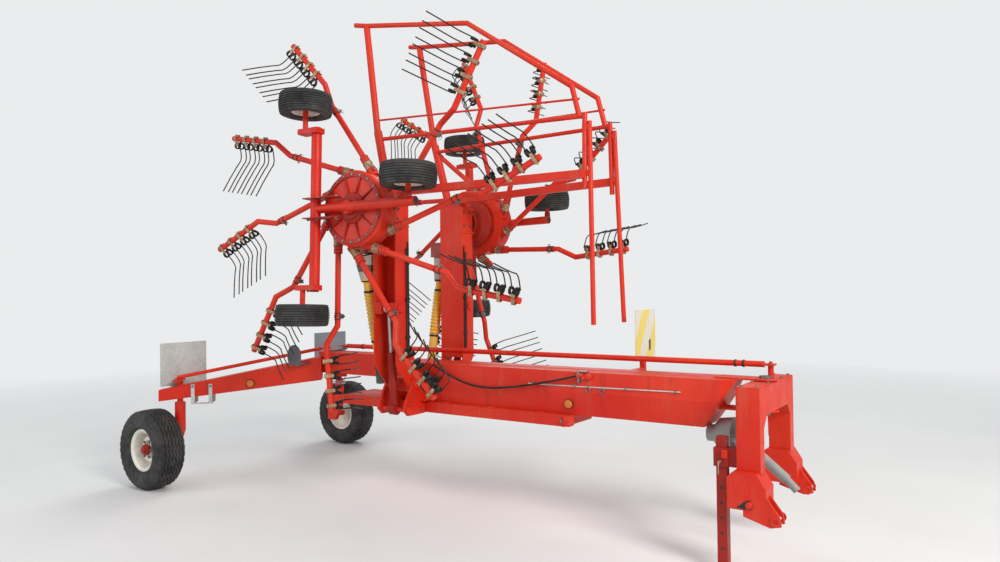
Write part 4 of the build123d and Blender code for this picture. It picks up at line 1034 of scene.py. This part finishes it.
@dataclass
class BeamDetail:
    """Reflectors, pipe, rings, lugs, bolts, stirrups and a shield along the beam and the rear arms."""

    looks: Finishes
    reflector_spots: tuple[tuple[Point, Point], ...] = (  # centre with X from the axle, facing
        ((3.611, -0.1520, 0.878), (0, -1, -0.15)), ((0.597, -0.5735, 0.888), (0.686, -0.7275, 0)))
    pipe: tuple[Pair, ...] = ((3.28, 1.004), (3.66, 1.006), (4.05, 1.011), (4.44, 1.016))  # X, Z
    hanging_rings: tuple[Pair, ...] = ((3.773, 0.990), (3.881, 0.986))  # X, Z
    ring_radius: float = 0.017
    ring_steps: int = 18
    stirrup_low: float = 0.790
    stirrup_high: float = 0.905
    arm_face: float = -0.0630

    def reflectors(self) -> None:
        """Make the amber reflectors on the beam and on the rear arm, with their black backs."""
        lenses, backs = bmesh.new(), bmesh.new()
        for side in Side:
            for centre, facing in self.reflector_spots:
                place = mirror_for(side) @ frame_at(spot(*centre), facing)
                disc(backs, place, 0.036, 0.036, 0.010, 32, 0.002)
                disc(lenses, place @ at(0, 0, 0.010), 0.032, 0.029, 0.006, 32, 0.0015)
        piece("reflector_backs", backs, "chassis", self.looks.black)
        piece("amber_reflectors", lenses, "chassis", self.looks.amber)

    def fittings(self) -> None:
        """Make the cable guide, the thin pipe with its clips, the hanging rings, the lugs and bolts."""
        zinc, pipes, red, heads = bmesh.new(), bmesh.new(), bmesh.new(), bmesh.new()
        slab(zinc, spot(3.686, -0.166, 1.030), spot(3.708, -0.150, 1.116), 0.002)
        slab(zinc, spot(3.686, -0.166, 1.108), spot(3.760, -0.110, 1.114), 0.002)
        tube(pipes, [spot(x, -0.1650, z) for x, z in self.pipe], 0.0040, 8)
        piece("beam_pipe", pipes, "chassis", self.looks.plate)
        for x in (3.32, 3.66, 4.05, 4.40):
            slab(zinc, spot(x, -0.1700, 1.000), spot(x + 0.012, -0.1590, 1.022), 0.001)
        angles = [step * math.tau / self.ring_steps for step in range(self.ring_steps)]
        for x, z in self.hanging_rings:
            centre = spot(x, -0.1690, z)
            tube(zinc, [centre + self.ring_radius * Vector((math.sin(angle), 0, math.cos(angle)))
                        for angle in angles], 0.0030, 6)
            disc(zinc, frame_at(centre + Vector((0, 0.008, self.ring_radius)), OUTWARD), 0.007, 0.006, 0.010, 10)
        piece("beam_fittings", zinc, "chassis", self.looks.bolt)
        slab(red, spot(3.736, -0.180, 1.062), spot(3.800, -0.148, 1.096), 0.004)
        slab(red, spot(3.602, -0.224, 0.726), spot(3.650, -0.150, 0.7995), 0.003)
        for x in (2.46, 2.90, 3.34):
            slab(red, spot(x, -0.190, 0.7995), spot(x + 0.07, -0.142, 0.806), 0.002)
        piece("beam_lugs", red, "chassis", self.looks.red)
        for side in Side:
            bolts(heads, mirror_for(side), [spot(x, -0.1950, 0.760) for x in (3.574, 1.40, 2.00)], OUTWARD, 0.011)
        piece("beam_bolts", heads, "chassis", self.looks.bolt)

    def stirrups(self) -> None:
        """Make the zinc stirrups that hang from the rear arms below the marker plates."""
        zinc, heads = bmesh.new(), bmesh.new()
        low, high, face = self.stirrup_low, self.stirrup_high, self.arm_face
        for side in Side:
            place = mirror_for(side) @ at(WHEEL_X - 0.02, -1.060, 0) @ turned(math.atan2(0.962, 1.02), "Z")
            for reach in (0.290, 0.440):
                for back, front, bottom, top in (
                    (face - 0.007, face, low - 0.062, high - 0.012),
                    (face - 0.006, 0.066, low - 0.066, low - 0.059),
                    (0.062, 0.069, low - 0.062, high - 0.020),
                ):
                    slab(zinc, (reach - 0.015, back, bottom), (reach + 0.015, front, top), 0.0015, place)
                bolts(heads, place, [(reach, face - 0.007, high - 0.030)], OUTWARD, 0.009)
            slab(zinc, (0.275, face - 0.006, low - 0.072), (0.455, face + 0.030, low - 0.064), 0.0015, place)
        piece("rear_arm_stirrups", zinc, "chassis", self.looks.plate)
        piece("stirrup_bolts", heads, "chassis", self.looks.bolt)

    def shield(self) -> None:
        """Make the rounded grey shield that stands on the near rear arm, on its foot."""
        mesh = bmesh.new()
        outline = [(-0.066, 1.045), (0.066, 1.045), (0.088, 1.095)]
        outline += [(0.090 * math.cos(turn * math.pi / 10), 1.140 + 0.090 * math.sin(turn * math.pi / 10))
                    for turn in range(11)]
        outline.append((-0.088, 1.095))
        plate(mesh, outline, 0.006, Matrix.Translation(spot(0.960, -0.380, 0)) @ turned(QUARTER, "X"), 0.0015)
        slab(mesh, spot(0.930, -0.384, 1.050), spot(0.990, -0.225, 1.062), 0.002)
        piece("rear_shield", mesh, "chassis", self.looks.shield)

    def build(self) -> None:
        """Make everything along the beam."""
        self.reflectors()
        self.fittings()
        self.stirrups()
        self.shield()


@dataclass
class WarningBoard:
    """The striped board with its grip hole, the grip's dark lining and its bolts."""

    looks: Finishes
    front_x: float = WHEEL_X + 3.9803
    thickness: float = 0.005
    middle_y: float = 0.350
    low_z: float = 1.165
    high_z: float = 1.535
    half: float = 0.180
    inset: float = 0.002
    grip: Pair = (0.075, 0.105)  # across from the middle, up from the lower edge
    grip_radius: float = 0.022

    def build(self) -> None:
        """Make the board from a plate with a slot cut through it."""
        place = at(self.front_x, self.middle_y, 0) @ axes((0, 1, 0), (0, 0, 1), FORWARD)
        top, low, edge = self.high_z - self.inset, self.low_z + self.inset, self.half - self.inset
        across, up = self.grip[0], self.low_z + self.grip[1]
        hole = []
        for turn in range(20):
            y, z = math.cos(turn * math.tau / 20), math.sin(turn * math.tau / 20)
            hole.append((across + self.grip_radius * y, up + self.grip_radius * (z + (1 if z > 0 else -1))))
        mesh, grip, heads = bmesh.new(), bmesh.new(), bmesh.new()
        loops = []
        for outline in ([(-edge, low), (edge, low), (edge, top), (-edge, top)], hole):
            verts = [mesh.verts.new(place @ Vector((x, y, 0))) for x, y in outline]
            loops += [mesh.edges.new((a, b)) for a, b in zip(verts, verts[1:] + verts[:1])]
        filled = bmesh.ops.triangle_fill(mesh, use_beauty=True, edges=loops)
        faces = [item for item in filled["geom"] if isinstance(item, bmesh.types.BMFace)]
        raise_faces(mesh, faces, Vector((self.thickness, 0, 0)))
        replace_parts(piece("striped_board", mesh, "chassis", self.looks.board), "warning_board")
        plate(grip, [(across + (y - across) * 1.25, up + (z - up) * 1.12) for y, z in hole], 0.003,
              place @ at(0, 0, -0.003), 0.0005)
        piece("board_grip", grip, "chassis", Finish(self.looks.shield.material, "black_plastic"))
        bolts(heads, Matrix.Identity(4), [(self.front_x + self.thickness, self.middle_y + y, 1.1775)
                                          for y in (-0.012, 0.012)], FORWARD, 0.006)
        piece("board_bolts", heads, "chassis", self.looks.bolt)


@dataclass
class HeadstockDetail:
    """Pins, covers, bolts, stiffeners and clamps on the headstock, yokes, stand and steering rod."""

    looks: Finishes
    swivel_x: float = WHEEL_X + 4.934
    collar_outer: float = 0.458
    hitch: Point = (5.095, 0.0, 0.367)  # X from the axle
    slot: tuple[Pair, ...] = (
        (-0.075, -0.020), (-0.020, -0.026), (0.010, -0.026), (0.024, 0.0), (0.004, 0.028), (-0.014, 0.026))
    stiffener: tuple[Pair, ...] = (
        (-0.315, 0.860), (-0.3145, 0.700), (-0.300, 0.860), (-0.245, 0.925), (-0.255, 0.930))
    stand_spot: Pair = (4.770, -0.390)  # X from the axle, Y

    def yokes(self) -> None:
        """Make the pin heads in their slots, each slot a thin black plate of painted shade, and the rings round the
        hitch holes.
        """
        red, dark = bmesh.new(), bmesh.new()
        for side in Side:
            out = mirror_for(side)
            disc(red, out @ frame_at(spot(4.950, -self.collar_outer, 0.438), OUTWARD), 0.021, 0.019, 0.016, 24, 0.003)
            # a thin black plate cut to each slot's outline: painted shade in the slot
            plate(dark, self.slot, 0.0010, out @ Matrix.Translation(spot(4.950, -self.collar_outer - 0.0015, 0.438))
                  @ turned(QUARTER, "X"))
            for y, sunk in ((-0.3515, -0.0215), (-0.4725, -0.0145)):
                place = out @ frame_at(spot(self.hitch[0], y, self.hitch[2]), OUTWARD)
                ring(red, place @ at(0, 0, sunk), 0.0150, 0.029, 0.0045)
        piece("yoke_pins", red, "headstock", self.looks.red)
        piece("yoke_slot_shade", dark, "headstock", self.looks.black)

    def crown(self) -> None:
        """Make the top's cover plates, the swivel pin's cap bolts and the weld-on stiffeners."""
        red, heads = bmesh.new(), bmesh.new()
        x = self.swivel_x
        for right, left in ((-0.398, -0.095), (0.160, 0.398)):
            slab(red, (x - 0.066, right, 1.0995), (x + 0.066, left, 1.104), 0.0015)
        for side in Side:
            plate(red, self.stiffener, 0.010, mirror_for(side) @ at(x - 0.072, 0, 0) @ turned(QUARTER, "Z")
                  @ turned(QUARTER, "X"))
        piece("headstock_covers", red, "headstock", self.looks.red)
        for y in (-0.370, -0.130, 0.200, 0.370):
            for along in (-0.046, 0.046):
                bolt(heads, at(x + along, y, 1.104), 0.009)
        piece("headstock_bolts", heads, "headstock", self.looks.bolt)

    def stand(self) -> None:
        """Make the stand's pin holes as thin black discs of painted shade, its pin with the bent handle, and the
        sleeve's lug.
        """
        dark, pin, red = bmesh.new(), bmesh.new(), bmesh.new()
        x, y = self.stand_spot
        # each pin hole is a thin black disc: painted shade inside the hole
        for hole in range(5):
            disc(dark, frame_at(spot(x, y + 0.0005, 0.14 + hole * 0.09), OUTWARD), 0.009, 0.009, 0.0008, 14)
        piece("stand_hole_shade", dark, "stand", self.looks.black)
        for path, radius, sides in (  # out from the stand's face and height
            (((0.052, 0.660), (0.020, 0.660), (0.004, 0.660)), 0.007, 10),
            (((0.052, 0.662), (0.054, 0.640), (0.054, 0.590)), 0.004, 8),
        ):
            tube(pin, [spot(x, y - out, z) for out, z in path], radius, sides)
        piece("stand_pin", pin, "headstock", self.looks.bushing)
        slab(red, spot(x + 0.010, y - 0.030, 0.680), spot(x + 0.042, y - 0.0115, 0.730), 0.003)
        piece("stand_lug", red, "headstock", self.looks.red)

    def rod(self) -> None:
        """Make the black clamps on the steering rod."""
        rings = bmesh.new()
        for x, height in ((4.705, 0.010), (4.757, 0.012), (1.300, 0.012)):
            ring(rings, frame_at(spot(x, 0.125, 1.192), FORWARD), 0.019, 0.0245, height)
        piece("steering_rod_clamps", rings, "steering_rod", self.looks.black)

    def build(self) -> None:
        """Make everything on the headstock."""
        self.yokes()
        self.crown()
        self.stand()
        self.rod()


@dataclass
class BoomDetail:
    """What is fastened to the booms and their brackets: gussets, valves, pipes, caps and bolts."""

    looks: Finishes
    rear_x: float = WHEEL_X + 2.050
    front_x: float = WHEEL_X + 2.290
    bracket_x: float = WHEEL_X + 2.316
    fold_pin: Pair = (-0.300, 0.950)
    lift_eye: Pair = (-0.450, 1.560)
    lift_foot: Pair = (-0.400, 0.760)
    bracket_bolts: tuple[Pair, ...] = (  # Y, Z
        (-0.225, 1.000), (-0.235, 0.900), (-0.330, 0.860), (-0.360, 0.800), (-0.250, 0.745))
    valve_ends: tuple[tuple[Point, Point, float], ...] = (  # foot with X from the bracket, aim, length
        ((0.060, -0.258, 0.975), (0.2, -1, 0.1), 0.070), ((0.085, -0.215, 0.960), (1, 0, -0.2), 0.060),
        ((0.050, -0.215, 1.005), (0, -0.2, 1), 0.045), ((0.060, -0.200, 0.945), (0.4, -0.1, -1), 0.080),
        ((0.100, -0.190, 0.985), (1, 0.1, 0.3), 0.050))

    def boom(self, side: Side) -> None:
        """Make the bolts, pin caps and pipes on one boom."""
        out, x = mirror_for(side), self.front_x
        heads, red, pipes = bmesh.new(), bmesh.new(), bmesh.new()
        for end_x, facing in ((self.rear_x, (-1, 0, 0)), (x, FORWARD)):
            bolts(heads, out, [(end_x, y, z) for z in (2.260, 2.380) for y in (-0.380, -0.470)], facing, 0.011)
        bolts(heads, out, [(x, -0.370, z) for z in (1.25, 1.60, 2.00)], FORWARD, 0.008)
        piece(side.of("boom_bolts"), heads, side.of("boom"), self.looks.bolt)
        disc(red, out @ frame_at((x - 0.002, *self.fold_pin), FORWARD), 0.052, 0.050, 0.004, 28, 0.001)
        disc(red, out @ frame_at((x, *self.lift_eye), FORWARD), 0.038, 0.036, 0.014, 24, 0.003)
        for z in (2.196, 2.406):
            slab(red, (x - 0.001, -0.500, z), (x + 0.008, -0.345, z + 0.014), 0.002, out)
        piece(side.of("boom_caps"), red, side.of("boom"), self.looks.red)
        for y, shift in ((-0.365, 0.0), (-0.385, 0.05)):
            path = ((0.008, 1.150 + shift), (0.010, 1.3), (0.010, 1.9), (0.008, 2.08 - shift))
            tube(pipes, [out @ Vector((x + reach, y, z)) for reach, z in path], 0.006, 8)
            for z in (1.32, 1.62, 1.92):
                slab(pipes, (x - 0.001, y - 0.012, z), (x + 0.018, y + 0.012, z + 0.022), 0.002, out)
        piece(side.of("boom_pipes"), pipes, side.of("boom"), self.looks.black)

    def bracket(self, side: Side) -> None:
        """Make the gusset, pin caps and bolts on one bracket."""
        out, face = mirror_for(side), self.bracket_x
        red, heads = bmesh.new(), bmesh.new()
        for centre, radius in ((self.fold_pin, 0.036), (self.lift_foot, 0.030)):
            disc(red, out @ frame_at((face, *centre), FORWARD), radius, radius * 0.92, 0.016, 24, 0.003)
        plate(red, ((-0.162, 0.815), (-0.250, 0.815), (-0.162, 0.930)), 0.045,
              out @ at(face - 0.001, 0, 0) @ axes((0, 1, 0), (0, 0, 1), FORWARD), 0.002)
        piece(side.of("bracket_caps"), red, "chassis", self.looks.red)
        bolts(heads, out, [(face, *point) for point in self.bracket_bolts], FORWARD, 0.010)
        piece(side.of("bracket_bolts"), heads, "chassis", self.looks.bolt)

    def valves(self) -> None:
        """Make the black valve block with its hose ends on the near bracket."""
        face = self.bracket_x
        mesh = bmesh.new()
        slab(mesh, (face + 0.020, -0.258, 0.945), (face + 0.100, -0.172, 1.005), 0.004)
        for (x, y, z), aim, length in self.valve_ends:
            foot = frame_at((face + x, y, z), aim)
            disc(mesh, foot, 0.014, 0.013, length * 0.5, 6)
            disc(mesh, foot @ at(0, 0, length * 0.5), 0.011, 0.011, length * 0.3, 12, 0.002)
            disc(mesh, foot @ at(0, 0, length * 0.8), 0.014, 0.012, length * 0.2, 12, 0.002)
        slab(mesh, (face - 0.001, -0.250, 0.955), (face + 0.030, -0.180, 0.995), 0.002)
        piece("valve_block", mesh, "chassis", self.looks.black)

    def build(self, side: Side) -> None:
        """Make one side's boom and bracket details."""
        self.boom(side)
        self.bracket(side)
        if side is Side.RIGHT:
            self.valves()


@dataclass
class RunnerDetail:
    """End brackets, axle plates and tube ends of the frame that carries a rotor's wheels."""

    looks: Finishes
    tube_z: float = -0.150
    axle_z: float = -0.187
    cross_x: float = -0.290
    cross_end: float = 0.610
    front_x: float = 0.630
    bracket: tuple[Pair, ...] = (
        (-0.350, -0.232), (-0.060, -0.222), (-0.030, -0.195), (-0.030, -0.150), (-0.350, -0.112))
    bracket_thickness: float = 0.008

    def build(self, side: Side) -> None:
        """Make one side's brackets, bolts and tube ends, with painted shade in the tubes' open mouths."""
        head = rotor_place(side)
        red, heads, dark = bmesh.new(), bmesh.new(), bmesh.new()
        for y, face, hand in ((-0.078, -0.078, -1), (0.070, 0.078, 1)):
            plate(red, self.bracket, self.bracket_thickness,
                  head @ at(0, y + self.bracket_thickness, 0) @ turned(QUARTER, "X"), 0.001)
            bolts(heads, head, [(x, face, -0.180) for x in (-0.335, -0.245, -0.060)], (0, hand, 0), 0.011)
        for hand in (-1, 1):
            end = head @ frame_at((self.cross_x, hand * self.cross_end, self.tube_z), (0, hand, 0))
            ring(red, end, 0.018, 0.034, 0.010)
            # a thin black disc across the bore: painted shade inside the open tube
            disc(dark, end, 0.018, 0.018, 0.0015, 20)
            bolts(heads, head, [(x, hand * self.cross_end, self.tube_z) for x in (-0.400, -0.352)],
                  (0, hand, 0), 0.010)
        tip = head @ frame_at((self.front_x, 0, self.tube_z), FORWARD)
        ring(red, tip @ at(0, 0, -0.002), 0.026, 0.0345, 0.006, 28)
        # a thin black disc across the front tube's bore: painted shade inside it
        disc(dark, tip, 0.026, 0.026, 0.0012, 28)
        disc(red, head @ frame_at((0.595, -0.020, self.axle_z), OUTWARD), 0.026, 0.024, 0.050, 20, 0.003)
        body = side.of("rotor_head")
        # the runner brackets wear the darker red of painted shade
        piece(side.of("runner_brackets"), red, body, self.looks.painted_shade_red)
        piece(side.of("runner_bolts"), heads, body, self.looks.bolt)
        piece(side.of("tube_mouth_shade"), dark, body, self.looks.black)


@dataclass
class Frame:
    """Every carried-over node but the rims, each with its finish."""

    looks: Finishes

    def build(self) -> None:
        """Dress every node that keeps its own shape."""
        looks = self.looks
        for finish, names in (
            (looks.red, "main_beam rear_frame lower_rail headstock hitch_yokes steering_rod board_arm"),
            (looks.painted_shade_red, "stand_sleeve stand_tube"), (looks.bolt, "swivel_pin steering_lever"),
            (looks.grey, "input_guard input_shaft"), (looks.black, "drive_stubs"), (looks.plate, "marker_plates"),
        # the stand's sleeve and tube wear the darker red of painted shade
        ):
            for name in names.split():
                dress(name, finish)
        for finish, names in (
            (looks.red, "boom_bracket boom tie_rod knuckle runner_frame guard_frame rotor"),
            # the lift barrels and rotor heads wear the darker red of painted shade
            (looks.painted_shade_red, "lift_barrel rotor_head"), (looks.chrome, "lift_rod"), (looks.guard, "drive_shaft"),
        ):
            for name in names.split():
                for side in Side:
                    dress(side.of(name), finish)


@dataclass
class Studio:
    """Pale floor and backdrop, soft lamps, and the camera at the photograph's angle."""

    camera_spot: Vector = field(default_factory=lambda: spot(6.180, -4.736, 1.6755))
    yaw: float = math.radians(-34.494)
    pitch: float = math.radians(0.875)
    roll: float = math.radians(-0.701)
    focal_share: float = 0.73513
    sensor: float = 36.0
    floor_size: float = 60.0
    fade_from: float = 4.5
    fade_to: float = 13.0
    backdrop: tuple[float, float, float, float] = (0.90, 0.91, 0.92, 1.0)
    backdrop_strength: float = 0.92
    daylight: tuple[float, float, float, float] = (0.86, 0.89, 0.93, 1.0)
    daylight_strength: float = 0.62
    aim: Point = (0, 0, 1.6)
    lamp_rows: tuple[tuple[str, Point, float, float, Point], ...] = (  # name, place, size, watts, tint
        ("key_lamp", (9.5, -3.6, 6.5), 3.6, 820.0, (1.0, 0.97, 0.93)),
        ("fill_lamp", (-5.0, -9.0, 5.0), 7.0, 260.0, (0.95, 0.97, 1.0)),
        ("back_lamp", (-4.0, 7.5, 7.5), 6.0, 300.0, (1.0, 1.0, 1.0)))

    def camera(self) -> None:
        """Stand the camera where the photograph was taken from."""
        ahead = Vector((math.sin(self.yaw) * math.cos(self.pitch), math.cos(self.yaw) * math.cos(self.pitch),
                        math.sin(self.pitch)))
        right = Vector((math.cos(self.yaw), -math.sin(self.yaw), 0.0))
        up = right.cross(ahead)
        data = bpy.data.cameras.new("photo_camera")
        data.sensor_width = self.sensor
        data.lens = self.focal_share * self.sensor
        data.clip_end = 200.0
        camera = stand("photo_camera", data)
        camera.matrix_world = Matrix.Translation(self.camera_spot) @ axes(
            right * math.cos(self.roll) + up * math.sin(self.roll),
            up * math.cos(self.roll) - right * math.sin(self.roll), -ahead)
        bpy.context.scene.camera = camera

    def floor(self) -> None:
        """Lay the pale floor, which fades into the backdrop far from the machine."""
        mesh = bmesh.new()
        bmesh.ops.create_grid(mesh, x_segments=4, y_segments=4, size=self.floor_size)
        data = bpy.data.meshes.new("floor")
        mesh.to_mesh(data)
        mesh.free()
        desk = NodeDesk("floor_paint")
        desk.colour(desk.mix(desk.patches(0.6, 3.0, 0.3, 0.7), (226, 226, 224), (232, 232, 230)))
        desk.set(Roughness=0.9, Specular_IOR_Level=0.1)
        distance = desk.add("ShaderNodeVectorMath", operation="LENGTH")
        desk.link(desk.place, distance.inputs[0])
        share = desk.sum(desk.band(distance.outputs["Value"], self.fade_from, self.fade_to),
                         desk.add("ShaderNodeLightPath").outputs["Is Camera Ray"], "MULTIPLY")
        glow = desk.add("ShaderNodeEmission")
        glow.inputs["Color"].default_value = self.backdrop
        glow.inputs["Strength"].default_value = self.backdrop_strength
        choose = desk.add("ShaderNodeMixShader")
        for source, target in ((share, 0), (desk.shader.outputs[0], 1), (glow.outputs[0], 2)):
            desk.link(source, choose.inputs[target])
        desk.link(choose.outputs[0], desk.tree.nodes["Material Output"].inputs["Surface"])
        data.materials.append(desk.material)
        stand("floor", data)

    def lamps(self) -> None:
        """Hang the soft lamps and fill the world with pale light."""
        for name, place, size, power, tint in self.lamp_rows:
            data = bpy.data.lights.new(name, "AREA")
            data.shape = "DISK"
            data.size = size
            data.energy = power
            data.color = tint
            aim = Vector(self.aim) - Vector(place)
            turn = aim.to_track_quat("-Z", "Y").to_matrix().to_4x4()
            stand(name, data).matrix_world = Matrix.Translation(place) @ turn
        world = bpy.data.worlds.new("pale_world")
        bpy.context.scene.world = world
        world.use_nodes = True
        nodes, links = world.node_tree.nodes, world.node_tree.links
        light, shown = nodes["Background"], nodes.new("ShaderNodeBackground")
        for node, colour, strength in ((light, self.daylight, self.daylight_strength),
                                       (shown, self.backdrop, self.backdrop_strength)):
            node.inputs["Color"].default_value = colour
            node.inputs["Strength"].default_value = strength
        choose = nodes.new("ShaderNodeMixShader")
        links.new(nodes.new("ShaderNodeLightPath").outputs["Is Camera Ray"], choose.inputs[0])
        links.new(light.outputs[0], choose.inputs[1])
        links.new(shown.outputs[0], choose.inputs[2])
        links.new(choose.outputs[0], nodes["World Output"].inputs["Surface"])

    def build(self) -> None:
        """Set the stage and the view."""
        self.camera()
        self.floor()
        self.lamps()
        bpy.context.scene.view_settings.view_transform = "Standard"


def main() -> None:
    """Build every sub-assembly in order."""
    Studio().build()
    looks = Finishes()
    BeamHose(looks).build()
    Frame(looks).build()
    for side in Side:
        for assembly in (RoadWheels, RotorWheels, Tines, Rotors, RunnerDetail, DriveGuards, BoomDetail):
            assembly(looks).build(side)
    for assembly in (BeamDetail, WarningBoard, HeadstockDetail):
        assembly(looks).build()


if __name__ == "__main__":
    main()
